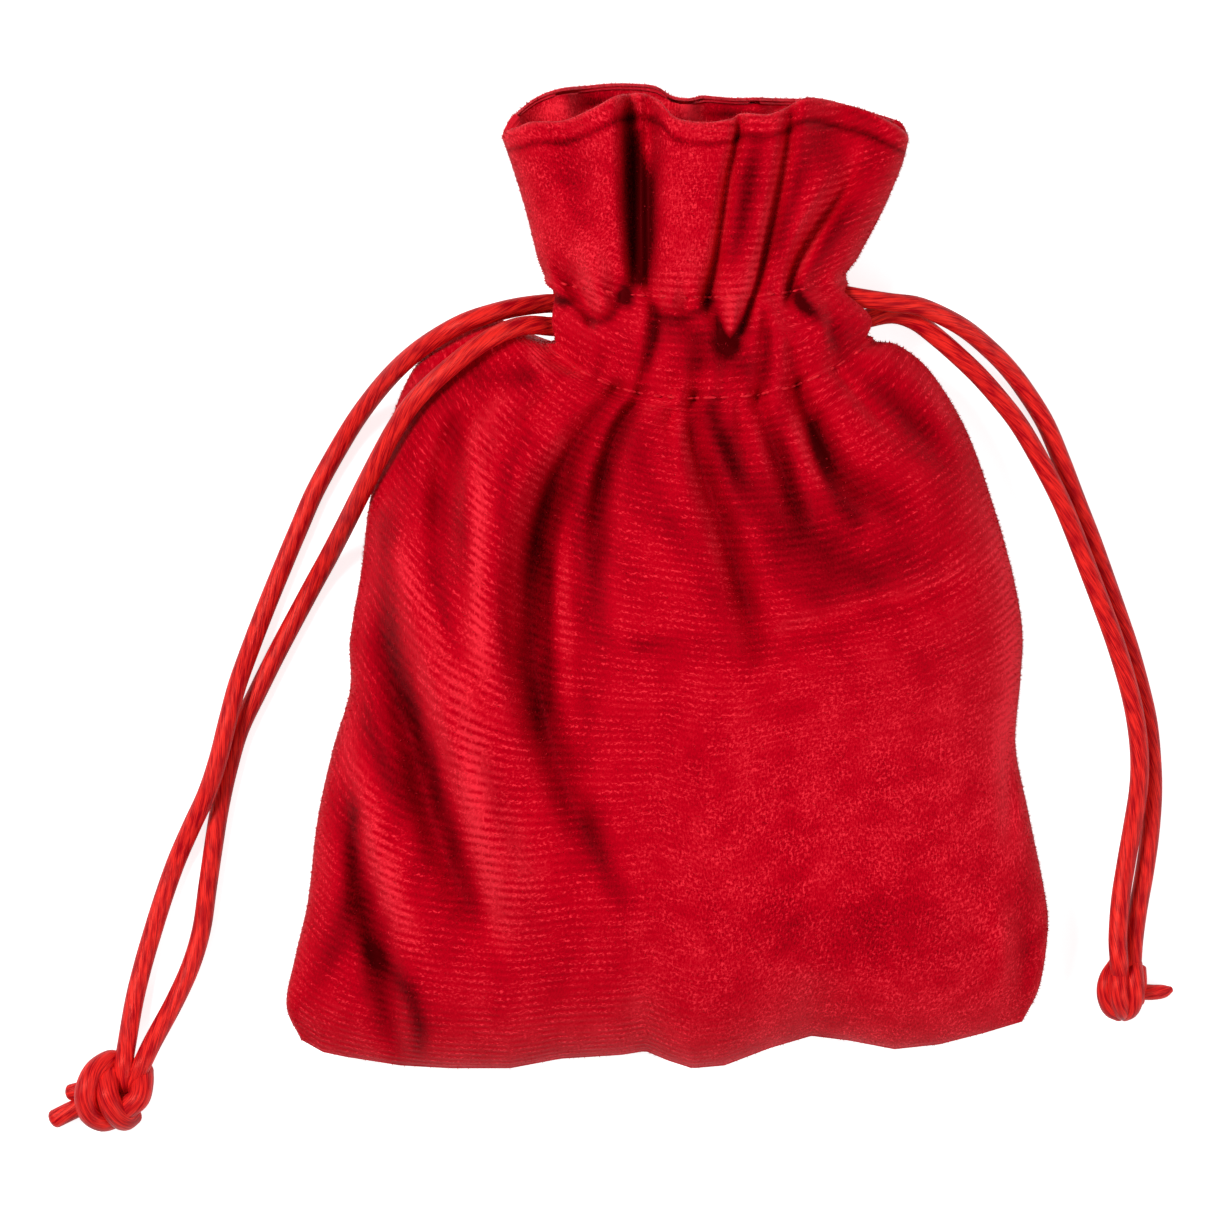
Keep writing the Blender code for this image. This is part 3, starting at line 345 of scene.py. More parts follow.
# Folds in the front panel, each a stroke of points in millimetres:
# x, y, height of the ridge (a valley is negative), half width.
frontFolds = (
    # long main valley, from the casing down the left of the belly, steeper on its left
    ((-5.2, 19.2, -2.0, 1.0), (-9.6, 13.6, -3.6, 1.6), (-12.9, 7.0, -4.6, 1.9), (-14.4, -0.6, -4.6, 2.0),
     (-14.3, -8.0, -4.2, 2.0), (-12.8, -15.6, -3.6, 2.0), (-10.0, -23.4, -2.6, 1.9), (-6.6, -31.0, 0.0, 1.6)),
    ((-7.6, 13.0, 0.0, 2.4), (-10.4, 6.0, -2.4, 3.2), (-11.6, -3.0, -2.6, 3.4), (-10.6, -12.0, -2.0, 3.2),
     (-8.0, -22.0, 0.0, 2.6)),
    # full roll of cloth left of the main valley
    ((-13.6, 15.0, 0.0, 1.8), (-17.4, 6.6, 1.2, 2.4), (-18.6, -3.0, 1.6, 2.6), (-18.0, -12.6, 1.2, 2.6),
     (-15.6, -22.6, 0.0, 2.4)),
    # narrow valley beside it
    ((-2.8, 18.9, -1.8, 0.8), (-5.6, 13.6, -2.8, 1.1), (-7.1, 6.8, -2.4, 1.1), (-7.8, -1.0, 0.0, 1.0)),
    # middle valley
    ((2.9, 18.6, -1.2, 0.8), (2.6, 14.8, -2.2, 1.0), (4.0, 9.6, -2.8, 1.2), (6.1, 3.8, -3.2, 1.5),
     (8.0, -2.4, -2.9, 1.5), (9.3, -7.4, -1.2, 1.2), (9.6, -10.0, 0.0, 1.0)),
    # two valleys right of the middle
    ((9.3, 18.6, -1.0, 0.8), (11.0, 13.4, -2.4, 1.1), (12.8, 8.0, -2.0, 1.2), (14.4, 3.4, 0.0, 1.2)),
    ((13.4, 19.6, -1.8, 0.9), (15.4, 15.3, -3.2, 1.3), (17.8, 11.0, -3.2, 1.6), (21.3, 8.2, -1.8, 1.6),
     (25.6, 6.4, 0.0, 1.6)),
    # shallow valley over the right shoulder
    ((20.6, 20.8, -0.4, 1.2), (26.0, 15.8, -1.5, 1.7), (31.2, 9.4, 0.0, 1.8)),
    # ridge and valley of the left shoulder
    ((-13.6, 19.6, 0.0, 1.4), (-18.6, 16.6, 1.2, 1.6), (-20.4, 10.5, 1.4, 1.7), (-20.6, 3.8, 0.0, 1.7)),
    ((-17.4, 19.4, 0.0, 1.2), (-22.2, 14.4, -2.0, 1.5), (-23.6, 7.4, -2.4, 1.5), (-23.2, -1.5, 0.0, 1.4)),
    # long bright ridge down the left side, and the valley outside it
    ((-28.4, 4.5, 0.0, 1.8), (-26.4, -3.4, 2.0, 2.0), (-23.4, -12.4, 3.0, 2.3), (-20.2, -21.4, 3.2, 2.5),
     (-17.0, -30.0, 2.2, 2.4), (-13.6, -38.0, 0.0, 2.2)),
    ((-30.2, -1.6, 0.0, 1.6), (-29.2, -8.8, -2.4, 1.7), (-26.4, -17.4, -3.6, 1.9), (-24.2, -25.6, -3.4, 2.0),
     (-20.6, -34.0, -1.8, 2.0), (-17.0, -40.0, 0.0, 2.0)),
    # lower left: a ridge near the seam, then a valley that runs to the bottom
    ((-33.2, -15.8, 0.0, 1.0), (-31.6, -22.4, 1.6, 1.3), (-29.6, -30.0, 1.6, 1.4), (-27.4, -37.0, 0.0, 1.3)),
    ((-34.0, -20.0, 0.0, 1.3), (-32.6, -29.0, -2.2, 1.4), (-30.6, -37.6, -3.2, 1.6), (-29.6, -44.0, -3.0, 1.6),
     (-28.0, -51.0, -1.6, 1.4)),
    # slack crease across the belly
    ((0.6, -9.2, 0.0, 1.6), (9.8, -7.4, -1.0, 1.7), (19.2, -3.8, -1.1, 1.8), (27.0, -1.9, -0.9, 1.8),
     (35.4, 2.2, 0.0, 1.5)),
    # crease where the front bulges over the right seam
    ((35.6, -14.5, 0.0, 0.9), (35.9, -22.0, -1.8, 1.0), (35.6, -29.0, 0.0, 0.9)),
    # lower right corner: a ridge and a small hollow outside it
    ((33.8, -32.0, 0.0, 1.3), (35.0, -38.0, 1.2, 1.3), (34.8, -45.5, 0.0, 1.2)),
    ((37.2, -34.5, 0.0, 1.0), (37.6, -40.5, -1.4, 1.1), (37.0, -45.0, 0.0, 1.0)),
    # short tucks at the two notches of the bottom edge
    ((-2.4, -49.6, -1.6, 1.6), (-2.9, -43.5, 0.0, 2.2)),
    ((15.4, -48.0, -2.0, 2.4), (15.8, -41.0, 0.0, 3.2)),
)

# Pleats of the front panel above the neck, and their puffed tips that hang over the casing
ruffleFolds = (
    # deep fold between the left pleat and the next one, with a floor about as wide as it is deep
    ((-3.9, 50.4, -4.4, 1.0), (-3.8, 44.0, -5.4, 1.0), (-3.7, 37.0, -4.8, 0.9), (-3.5, 33.0, -3.6, 0.8),
     (-3.4, 30.6, -2.4, 0.6), (-3.4, 29.4, 0.0, 0.5)),
    ((-2.0, 50.4, -3.8, 1.1), (-1.9, 44.0, -4.4, 1.1), (-1.9, 37.0, -3.8, 1.0), (-1.9, 33.0, -2.8, 0.8),
     (-2.0, 30.6, -2.0, 0.6), (-2.0, 29.4, 0.0, 0.5)),
    # narrow folds between the other pleats
    ((7.6, 48.6, -1.6, 0.7), (7.3, 45.6, -2.2, 0.6), (6.4, 41.5, -2.4, 0.6), (5.7, 37.0, -2.6, 0.6),
     (5.1, 33.0, -2.6, 0.6), (4.3, 29.3, -2.4, 0.6), (4.4, 27.4, -0.8, 0.5)),
    ((12.9, 48.5, -1.6, 0.8), (12.5, 45.0, -2.4, 0.7), (11.6, 40.0, -2.8, 0.7), (10.7, 35.6, -2.8, 0.7),
     (9.6, 31.0, -2.4, 0.6), (8.4, 27.6, -1.6, 0.5), (7.5, 25.2, -0.8, 0.4)),
    ((20.6, 44.0, 0.0, 0.9), (18.4, 40.2, -1.8, 0.9), (15.4, 36.0, -2.8, 0.9), (13.6, 32.6, -2.8, 0.7),
     (12.7, 29.4, -2.2, 0.5), (12.6, 27.6, 0.0, 0.4)),
    # slack hollow in the face of the left pleat, and the bright ridge of the fourth
    ((-10.6, 47.0, -1.0, 2.0), (-9.6, 41.0, -1.1, 1.8), (-8.9, 36.0, 0.0, 1.4)),
    ((18.8, 46.0, 0.0, 1.2), (16.8, 42.0, 0.9, 1.2), (14.2, 37.5, 0.9, 1.0), (12.2, 33.0, 0.0, 0.8)),
    # the right half of the mouth is pressed nearly flat
    ((19.0, 52.0, -4.6, 4.6), (18.4, 46.0, -3.6, 4.0), (17.0, 40.0, -1.0, 3.2), (16.0, 36.0, 0.0, 2.6)),
    # puffed tips of three pleats, below the upper stitch line, and the hollows beside them
    ((-8.6, 36.0, 0.3, 1.8), (-7.6, 32.5, 1.4, 1.7), (-6.9, 29.6, 2.2, 1.4), (-6.6, 28.0, 2.2, 1.0)),
    ((-12.4, 32.6, 0.0, 0.8), (-11.2, 31.4, -1.2, 0.7), (-9.2, 29.2, -1.8, 0.7), (-8.1, 27.2, -1.6, 0.6),
     (-7.8, 25.4, 0.0, 0.6)),
    ((1.6, 36.0, 0.0, 1.9), (1.6, 32.0, 1.2, 1.9), (1.0, 29.8, 1.8, 1.5), (0.3, 28.4, 1.8, 1.0)),
    ((8.2, 34.0, 0.4, 1.2), (7.4, 30.0, 1.8, 1.3), (6.9, 27.4, 2.2, 1.0), (6.6, 25.6, 2.2, 0.6)),
    ((4.4, 25.8, 0.0, 0.6), (5.6, 23.6, -1.2, 0.7), (7.4, 23.6, -1.2, 0.6), (8.6, 25.2, 0.0, 0.5)),
    # folds in the casing itself
    ((-1.4, 27.8, -0.8, 0.5), (-1.7, 24.6, -1.4, 0.6), (-2.2, 21.6, -1.4, 0.6), (-2.9, 19.4, -0.8, 0.6)),
    ((3.3, 26.4, 0.0, 0.7), (3.3, 22.4, -0.8, 0.8), (3.1, 19.0, -0.6, 0.8)),
    ((10.0, 28.6, 0.0, 0.4), (10.1, 25.0, -1.3, 0.5), (10.0, 21.4, -1.3, 0.5), (9.7, 18.8, -0.8, 0.6)),
    ((12.5, 25.0, 0.0, 0.5), (13.0, 22.8, -1.2, 0.6), (13.6, 20.4, -1.2, 0.7)),
    ((-6.4, 24.6, 0.0, 0.8), (-6.9, 21.4, -1.0, 0.8), (-7.6, 18.6, 0.0, 0.9)),
    ((17.0, 28.4, 0.0, 0.8), (17.4, 25.0, -0.9, 0.8), (18.4, 21.6, 0.0, 0.9)),
)

# Grooves in the back panel, lifted off the surface it lies on: they fan out from the neck
backFolds = (
    ((-10.8, 50.0, 3.0, 1.7), (-9.0, 40.0, 2.6, 1.5), (-6.6, 31.0, 1.2, 0.8), (-7.0, 22.0, 1.6, 0.9),
     (-14.0, 8.0, 2.2, 1.6), (-19.0, -6.0, 0.0, 2.2)),
    ((2.2, 51.0, 2.6, 1.1), (1.6, 40.0, 2.4, 1.2), (1.2, 31.0, 1.2, 0.8), (0.6, 22.0, 1.6, 0.9),
     (-2.4, 8.0, 1.8, 1.5), (-3.6, -2.0, 0.0, 1.8)),
    ((9.6, 51.0, 2.4, 1.5), (9.0, 40.0, 2.6, 1.4), (7.4, 31.0, 1.2, 0.8), (8.4, 22.0, 1.6, 0.9),
     (11.6, 8.0, 2.0, 1.6), (12.6, -5.0, 0.0, 2.0)),
    ((18.0, 50.0, 1.8, 1.6), (16.0, 40.0, 2.2, 1.4), (13.0, 31.0, 1.2, 0.8), (14.6, 22.0, 1.6, 0.9),
     (22.0, 9.0, 2.0, 1.6), (28.0, -3.0, 0.0, 2.2)),
)


# Finer creases than the solids have: x, y, height, half width, in millimetres
fineFolds = (
    # fan of small creases under the casing
    ((-9.8, 21.5, -0.5, 0.5), (-13.8, 17.2, -0.7, 0.7), (-17.8, 12.0, 0.0, 0.8)),
    ((0.6, 20.4, -0.5, 0.5), (0.2, 14.0, -0.7, 0.7), (0.8, 8.0, 0.0, 0.8)),
    ((7.2, 20.2, -0.6, 0.5), (8.0, 13.0, -0.7, 0.7), (10.0, 7.0, 0.0, 0.8)),
    ((17.4, 21.6, -0.5, 0.5), (21.0, 17.4, -0.7, 0.8), (26.0, 12.6, 0.0, 0.9)),
)

# Crease where the hem of the mouth is turned in, below its rolled edge: a shallow groove, with painted shade in it and
# painted light on the rolled edge above
hemCrease = {"station": 18.42, "halfWidth": 0.11, "depth": 0.40 * mm, "paintedLight": -0.26, "paintedRollLight": 0.10}

# Painted light and shade on the front panel, where it is lit or shaded: x, y, strength (painted light above 0, painted
# shade below), half width, in millimetres
paintedLightStrokes = (
    # left shoulder and the hollow beside the cord's exit
    ((-22.0, 15.5, 0.0, 1.2), (-21.2, 12.0, -0.2, 1.1), (-21.3, 4.0, -0.2, 1.2), (-21.3, -2.0, -0.1, 1.2),
     (-21.5, -6.0, 0.0, 1.2)),
    ((-20.0, 21.0, -0.2, 2.0), (-25.0, 18.0, -0.2, 2.0), (-28.0, 11.0, -0.1, 2.0), (-28.0, 4.0, 0.0, 2.0)),
    ((-18.5, 19.8, 0.0, 1.2), (-15.0, 20.8, -0.28, 1.5), (-12.5, 20.5, 0.0, 1.2)),
    ((-24.0, 15.5, 0.0, 0.9), (-23.9, 12.0, 0.25, 1.0), (-24.4, 8.0, 0.0, 1.0)),
    # bands down the left of the belly
    ((-29.2, 8.0, 0.0, 1.4), (-29.2, 5.0, -0.2, 1.4), (-29.0, -1.0, -0.3, 1.4), (-27.6, -9.0, -0.3, 1.5), (-25.0, -17.0, -0.2, 1.5),
     (-22.6, -25.0, -0.15, 1.4), (-20.2, -35.0, -0.1, 1.4), (-18.0, -41.0, 0.0, 1.4)),
    ((-28.4, 4.0, 0.0, 0.8), (-26.8, -0.5, 0.3, 0.8), (-23.9, -6.0, 0.15, 0.9), (-20.6, -15.0, 0.3, 1.2),
     (-19.6, -26.0, 0.35, 1.3), (-17.6, -36.0, 0.25, 1.3), (-16.4, -41.0, 0.0, 1.2)),
    ((-28.0, -8.0, 0.0, 4.0), (-26.0, -20.0, -0.07, 4.5), (-24.0, -34.0, -0.06, 4.5), (-22.0, -42.0, 0.0, 4.0)),
    ((-19.6, 13.0, 0.0, 0.6), (-19.5, 9.0, 0.35, 0.7), (-19.7, 0.0, 0.4, 0.7), (-19.4, -7.0, 0.35, 0.8),
     (-18.4, -13.0, 0.0, 0.8)),
    ((-32.4, -10.0, 0.0, 1.2), (-31.2, -15.0, -0.2, 1.2), (-29.2, -20.0, -0.3, 1.3), (-27.4, -26.0, 0.0, 1.2)),
    ((-28.0, -12.5, 0.0, 1.0), (-26.4, -18.0, 0.2, 1.0), (-24.0, -27.0, 0.2, 1.1), (-21.0, -36.0, 0.1, 1.2),
     (-19.0, -40.0, 0.0, 1.0)),
    ((-33.2, -18.0, 0.0, 1.0), (-31.2, -24.0, 0.1, 1.1), (-29.0, -31.0, 0.3, 1.3), (-26.4, -38.0, 0.2, 1.3),
     (-23.0, -43.0, 0.0, 1.3)),
    ((-34.0, -20.0, 0.0, 1.2), (-32.6, -24.0, -0.12, 1.0), (-33.8, -37.0, -0.3, 1.4), (-36.5, -42.0, -0.15, 1.5),
     (-38.0, -46.0, 0.0, 1.2)),
    ((-32.2, -34.0, 0.0, 1.0), (-31.4, -38.5, -0.25, 1.0), (-28.8, -41.0, -0.2, 1.0), (-26.8, -43.4, -0.4, 1.1),
     (-25.8, -47.0, -0.35, 1.0), (-26.0, -51.0, -0.1, 1.0)),
    ((-32.6, -22.0, 0.0, 0.8), (-32.2, -24.6, -0.2, 0.8), (-31.8, -27.0, 0.0, 0.8)),
    ((-23.6, -30.0, 0.0, 1.3), (-22.0, -35.0, -0.15, 1.4), (-20.4, -39.0, 0.0, 1.3)),
    ((-24.6, 3.0, 0.0, 1.1), (-23.8, -1.5, -0.2, 1.2), (-22.4, -7.0, -0.2, 1.1), (-21.0, -12.0, 0.0, 1.0)),
    # both banks of the long main valley, and the narrow valley beside it
    ((-13.8, 16.0, 0.0, 1.0), (-16.4, 11.0, -0.25, 1.1), (-17.6, 2.0, -0.2, 1.1), (-17.0, -8.0, -0.1, 1.1),
     (-16.0, -14.0, 0.0, 1.1)),
    ((-7.0, 18.2, 0.0, 0.8), (-9.6, 15.0, 0.25, 0.9), (-12.6, 11.0, 0.35, 1.0), (-14.9, 4.5, 0.35, 0.9),
     (-15.2, -4.0, 0.35, 1.0), (-14.4, -10.0, 0.1, 1.3), (-13.0, -14.0, 0.0, 1.2)),
    ((-9.8, 9.0, 0.0, 0.9), (-10.6, 3.0, 0.3, 0.9), (-10.8, -4.0, 0.45, 1.0), (-10.4, -11.0, 0.3, 1.1),
     (-9.9, -16.0, 0.15, 1.1), (-9.6, -20.0, 0.0, 1.0)),
    ((-6.4, 14.0, 0.0, 0.8), (-6.6, 6.0, -0.12, 1.0), (-7.2, 0.0, -0.2, 1.2), (-7.0, -6.0, -0.1, 1.4),
     (-6.0, -10.0, 0.0, 1.4)),
    ((-13.0, -12.0, 0.0, 1.2), (-11.6, -18.0, 0.12, 1.2), (-9.6, -23.0, 0.12, 1.1), (-8.2, -26.0, 0.0, 1.0)),
    ((-8.6, -22.0, 0.0, 1.2), (-7.4, -27.6, -0.3, 1.4), (-5.4, -32.5, -0.2, 1.4), (-3.6, -35.5, 0.0, 1.3)),
    # middle valley, and painted shade on both sides of it
    ((1.4, 17.5, 0.0, 0.8), (2.2, 13.0, 0.3, 0.7), (4.2, 7.0, 0.25, 0.8), (6.0, 0.0, 0.2, 1.0),
     (7.6, -6.0, 0.1, 1.1), (8.4, -10.0, 0.0, 1.0)),
    ((4.6, 20.0, 0.0, 1.0), (5.0, 16.0, -0.35, 1.1), (6.6, 12.0, -0.3, 1.1), (8.8, 5.0, 0.0, 1.2)),
    ((-3.6, 15.0, -0.15, 2.2), (-2.4, 9.0, -0.15, 2.4), (2.6, 2.0, -0.1, 1.8), (6.4, -4.0, -0.1, 1.8),
     (7.0, -8.0, 0.0, 1.6)),
    ((-4.4, -6.0, 0.0, 0.9), (-2.6, -7.2, -0.25, 0.9), (0.0, -6.6, -0.1, 1.0), (6.0, -6.4, -0.05, 1.0)),
    ((9.0, 1.6, 0.0, 1.6), (12.0, -0.4, -0.15, 1.8), (16.0, -2.0, -0.15, 1.6), (19.0, -2.6, 0.0, 1.2)),
    ((18.4, 9.0, 0.0, 1.2), (19.6, 6.0, -0.2, 1.5), (20.4, 3.0, 0.0, 1.4)),
    ((-3.0, -50.0, 0.2, 1.4), (-2.8, -46.0, 0.15, 1.6), (-2.8, -42.0, 0.0, 1.6)),
    ((15.0, -48.0, 0.15, 1.8), (14.6, -44.0, 0.15, 2.0), (14.4, -40.0, 0.0, 1.8)),
    # right shoulder, painted darker down to the slack crease
    ((6.0, 15.0, -0.1, 4.0), (13.0, 5.0, -0.3, 3.6), (20.0, 0.0, -0.3, 3.2), (26.0, 3.6, -0.12, 3.4),
     (29.0, 10.0, -0.08, 3.0), (25.0, 17.0, -0.15, 2.6), (21.0, 21.0, -0.12, 1.6), (19.0, 23.0, 0.0, 1.2)),
    ((19.5, 12.0, 0.0, 1.8), (22.0, 8.5, -0.12, 2.2), (25.0, 6.0, -0.06, 2.0), (27.0, 4.0, 0.0, 2.0)),
    ((14.4, 17.5, 0.0, 0.9), (15.6, 13.0, -0.35, 1.0), (17.4, 8.0, -0.3, 1.1), (20.6, 5.0, 0.0, 1.1)),
    ((9.6, -6.4, 0.0, 1.0), (14.0, -5.0, 0.25, 1.1), (20.0, -3.0, 0.25, 1.1), (27.0, -1.0, 0.2, 1.1),
     (33.0, 1.8, 0.1, 1.2), (35.4, 3.4, 0.0, 1.0)),
    ((8.8, 18.0, 0.0, 0.7), (9.8, 13.5, 0.25, 0.7), (11.6, 8.0, 0.15, 0.8), (13.0, 4.5, 0.0, 0.8)),
    ((12.6, 18.6, 0.0, 0.7), (13.8, 14.6, 0.3, 0.7), (15.4, 10.6, 0.3, 0.8), (18.0, 7.0, 0.0, 0.8)),
    ((11.2, 18.0, 0.0, 0.8), (12.0, 14.0, -0.15, 0.8), (13.4, 8.6, -0.1, 0.9), (15.0, 4.0, 0.0, 1.0)),
    # painted light along the right seam
    ((33.0, 8.0, 0.0, 1.2), (35.6, 0.0, 0.3, 1.4), (35.8, -8.0, 0.4, 1.4), (35.3, -18.0, 0.5, 1.4),
     (35.4, -25.0, 0.35, 1.3), (36.6, -29.0, 0.0, 1.2), (37.4, -33.0, -0.15, 1.2), (36.4, -41.0, 0.0, 1.4),
     (34.0, -46.0, 0.0, 1.4)),
    ((6.0, -36.0, 0.0, 4.0), (14.0, -36.5, -0.1, 4.0), (24.0, -36.0, -0.12, 4.0), (32.0, -38.0, 0.0, 4.0)),
    # casing: painted shade in the middle, with sharp painted shadow lines where the pleats go under it
    ((0.0, 25.4, -0.15, 1.6), (4.4, 24.4, -0.3, 2.0), (8.0, 22.0, -0.25, 1.8)),
    ((-0.5, 22.5, 0.0, 1.2), (2.4, 22.0, -0.22, 1.3), (5.5, 21.8, -0.1, 1.2)),
    ((-4.6, 30.6, -0.2, 0.7), (-4.2, 29.0, -0.7, 0.8), (-3.8, 27.4, 0.0, 0.7)),
    ((-1.2, 27.4, -0.2, 0.6), (-1.3, 25.0, -0.4, 0.7), (-2.0, 21.5, -0.15, 0.6)),
    ((10.2, 27.4, -0.2, 0.5), (10.6, 24.0, -0.2, 0.5), (10.4, 19.6, -0.15, 0.5)),
    ((13.4, 30.4, -0.2, 0.7), (13.8, 28.6, -0.7, 0.8), (15.2, 27.2, -0.4, 0.8), (16.6, 26.2, 0.0, 0.7)),
    ((17.2, 27.0, -0.1, 1.2), (18.0, 24.0, -0.2, 1.6), (18.4, 21.0, 0.0, 1.4)),
    # pleats: each one's right edge light, and its shadow on the next one
    ((7.0, 48.0, 0.2, 0.5), (6.5, 43.0, 0.4, 0.5), (5.7, 38.0, 0.5, 0.6), (4.8, 33.0, 0.5, 0.6), (3.9, 29.8, 0.3, 0.6)),
    ((9.6, 47.0, 0.0, 1.0), (8.9, 43.0, -0.3, 1.0), (8.0, 38.0, -0.35, 1.0), (7.0, 33.0, -0.2, 0.9),
     (6.4, 30.0, 0.0, 0.8)),
    ((12.9, 47.0, 0.2, 0.5), (11.9, 42.0, 0.5, 0.6), (10.3, 36.2, 0.45, 0.6), (8.8, 31.0, 0.4, 0.6),
     (7.9, 28.4, 0.2, 0.5)),
    ((14.6, 46.0, 0.0, 0.9), (13.6, 41.0, -0.2, 0.9), (12.2, 36.0, -0.25, 0.8), (10.8, 31.0, 0.0, 0.7)),
    ((20.6, 46.0, 0.1, 1.0), (18.4, 41.0, 0.4, 1.0), (14.8, 34.6, 0.45, 0.9), (12.8, 30.6, 0.2, 0.7)),
    ((20.0, 40.0, 0.0, 1.0), (17.2, 35.6, -0.35, 1.1), (15.0, 31.6, -0.1, 1.0)),
    ((17.4, 50.0, 0.3, 2.0), (18.4, 46.0, 0.3, 2.0), (18.6, 42.6, 0.0, 1.6)),
    ((-2.6, 47.6, 0.2, 1.0), (-2.0, 45.0, 0.4, 1.0), (-1.8, 41.0, 0.0, 0.9)),
    ((-4.2, 50.4, 0.5, 1.1), (-2.8, 48.8, 0.4, 1.1), (-2.6, 46.0, 0.0, 0.9)),
    ((-10.0, 40.0, 0.0, 1.6), (-9.2, 37.0, -0.12, 1.8), (-8.0, 35.0, 0.0, 1.6)),
    ((-3.0, 46.0, -0.2, 0.5), (-2.9, 38.0, -0.3, 0.5), (-2.9, 30.6, -0.25, 0.5)),
    ((-2.3, 43.0, -0.1, 0.7), (-2.2, 38.0, -0.3, 0.8), (-2.4, 33.0, -0.3, 0.7), (-2.6, 30.5, -0.2, 0.6)),
    # shadows under the tips of three pleats, and the light on their ends
    ((-10.8, 30.6, 0.0, 0.5), (-9.9, 28.4, -0.2, 0.6), (-8.0, 26.4, -0.3, 0.6), (-6.0, 26.9, -0.3, 0.6),
     (-4.8, 29.0, -0.25, 0.6)),
    ((-9.0, 30.4, 0.2, 0.7), (-8.0, 28.4, 0.3, 0.6), (-6.8, 28.6, 0.1, 0.6)),
    ((-1.8, 29.0, -0.1, 0.6), (-0.8, 27.1, -0.25, 0.6), (1.0, 26.6, -0.25, 0.6), (3.0, 27.3, -0.3, 0.6),
     (4.6, 28.6, -0.35, 0.6)),
    ((5.0, 27.6, -0.2, 0.4), (5.6, 25.4, -0.4, 0.5), (6.5, 23.7, -0.5, 0.7), (7.4, 25.4, -0.5, 0.5),
     (8.9, 28.4, -0.3, 0.4)),
    ((6.6, 29.0, 0.1, 0.5), (6.5, 26.6, 0.3, 0.5), (6.5, 25.4, 0.3, 0.4)),
    ((-12.4, 29.6, -0.3, 0.5), (-11.0, 28.6, -0.5, 0.6), (-9.6, 28.2, 0.0, 0.5)),
    # painted light on the left edge of the casing, beside the cord's exit
    ((-13.0, 25.2, 0.5, 0.7), (-13.6, 22.6, 0.5, 0.6), (-12.6, 21.2, 0.2, 0.6)),
)


# Painted light and shade for the inside, seen through the mouth: painted shade in dark pockets, and painted light on a
# fold that catches it
paintedMouthLight = (
    ((-10.0, 50.0, -0.3, 0.9), (-7.4, 49.9, -0.6, 1.0), (-4.6, 50.2, -0.4, 0.8)),
    ((4.6, 48.8, -0.4, 0.8), (6.8, 48.6, -0.6, 1.0), (9.4, 48.5, -0.4, 0.8)),
    ((1.8, 50.4, 0.6, 0.6), (2.6, 48.6, 0.8, 0.6), (3.6, 47.0, 0.6, 0.6)),
    ((-13.4, 48.2, 0.3, 0.5), (-11.0, 48.9, 0.6, 0.5), (-8.6, 48.6, 0.2, 0.5)),
)


def ribStrength(x, y):
    # The knit's ribs show most above and on the left, and hardly at all low on the right and on
    # the two left pleats
    away = np.hypot(x - 24.0, (y + 34.0) / 0.9)
    furry = smoothStep(30.0, 33.0, y) * (1.0 - smoothStep(2.0, 8.0, x))
    return (0.2 + 0.8 * smoothStep(14.0, 38.0, away)) * (1.0 - 0.75 * furry)


def paintedStrokeLight(x, y):
    # Painted light and shade from the strokes, as a tone offset
    return foldHeight(paintedLightStrokes, x * mm, y * mm) / mm


def foldHeight(folds, x, y):
    # Sum of the strokes' heights at each point: a round ridge or valley along each stroke
    total = np.zeros_like(x)
    for fold in folds:
        samples = smoothCurve(fold, np.linspace(0, len(fold) - 1, 6 * len(fold))) * mm
        reach = 3.2 * samples[:, 3].max()
        near = ((x > samples[:, 0].min() - reach) & (x < samples[:, 0].max() + reach)
                & (y > samples[:, 1].min() - reach) & (y < samples[:, 1].max() + reach))
        if not near.any():
            continue
        start, end = samples[:-1], samples[1:]
        run = end[:, :2] - start[:, :2]
        px = x[near][:, None] - start[:, 0]
        py = y[near][:, None] - start[:, 1]
        t = np.clip((px * run[:, 0] + py * run[:, 1]) / (run ** 2).sum(axis=1), 0.0, 1.0)
        away = np.hypot(px - t * run[:, 0], py - t * run[:, 1])
        nearest = away.argmin(axis=-1)[:, None]
        t = np.take_along_axis(t, nearest, -1)[:, 0]
        away = np.take_along_axis(away, nearest, -1)[:, 0]
        nearest = nearest[:, 0]
        height = start[nearest, 2] + t * (end[nearest, 2] - start[nearest, 2])
        width = start[nearest, 3] + t * (end[nearest, 3] - start[nearest, 3])
        total[near] += height * np.exp(-(away / width) ** 2)
    return total


def casingShare(station):
    # 1 in the middle of the casing, 0 at its stitch lines and beyond
    middle = (bag["stitchLow"] + bag["stitchHigh"]) / 2
    half = (bag["stitchHigh"] - bag["stitchLow"]) / 2
    return np.clip(1.0 - (np.abs(station - middle) / half) ** 4, 0.0, 1.0)


def layerDepths(station):
    # Depths below the outer surface: tunnel's outer wall, tunnel's inner wall, inside of the bag
    share = casingShare(station)
    hemmed = smoothStep(bag["stitchLow"] - 0.35, bag["stitchLow"], station)
    outer = bag["thickness"] + bag["gatherDepth"] * share
    inner = outer + bag["tunnel"] * share
    return outer, inner, inner + bag["thickness"] * hemmed


def gathers(across, station):
    # Even small gathers that start at the neck and fade down the shoulder
    reach = smoothStep(8.8, 12.4, station) * (1.0 - smoothStep(15.2, 16.6, station))
    inCasing = casingShare(station)
    height = bag["shoulderGather"] * (1.0 - inCasing) + 0.25 * bag["gatherDepth"] * inCasing
    wave = np.cos(math.pi * bag["gatherCount"] * (across + 0.05 * np.sin(5.0 * across)))
    return height * reach * wave


def rimRise(edge, share):
    # How far the mouth's edge stands over the straight line between its two ends
    fine = smoothCurve(edge, np.linspace(0, len(edge) - 1, 8 * len(edge))) * mm
    along = (fine[:, 0] - fine[0, 0]) / (fine[-1, 0] - fine[0, 0])
    return np.interp(share, along, fine[:, 1] - fine[0, 1] - (fine[-1, 1] - fine[0, 1]) * along)


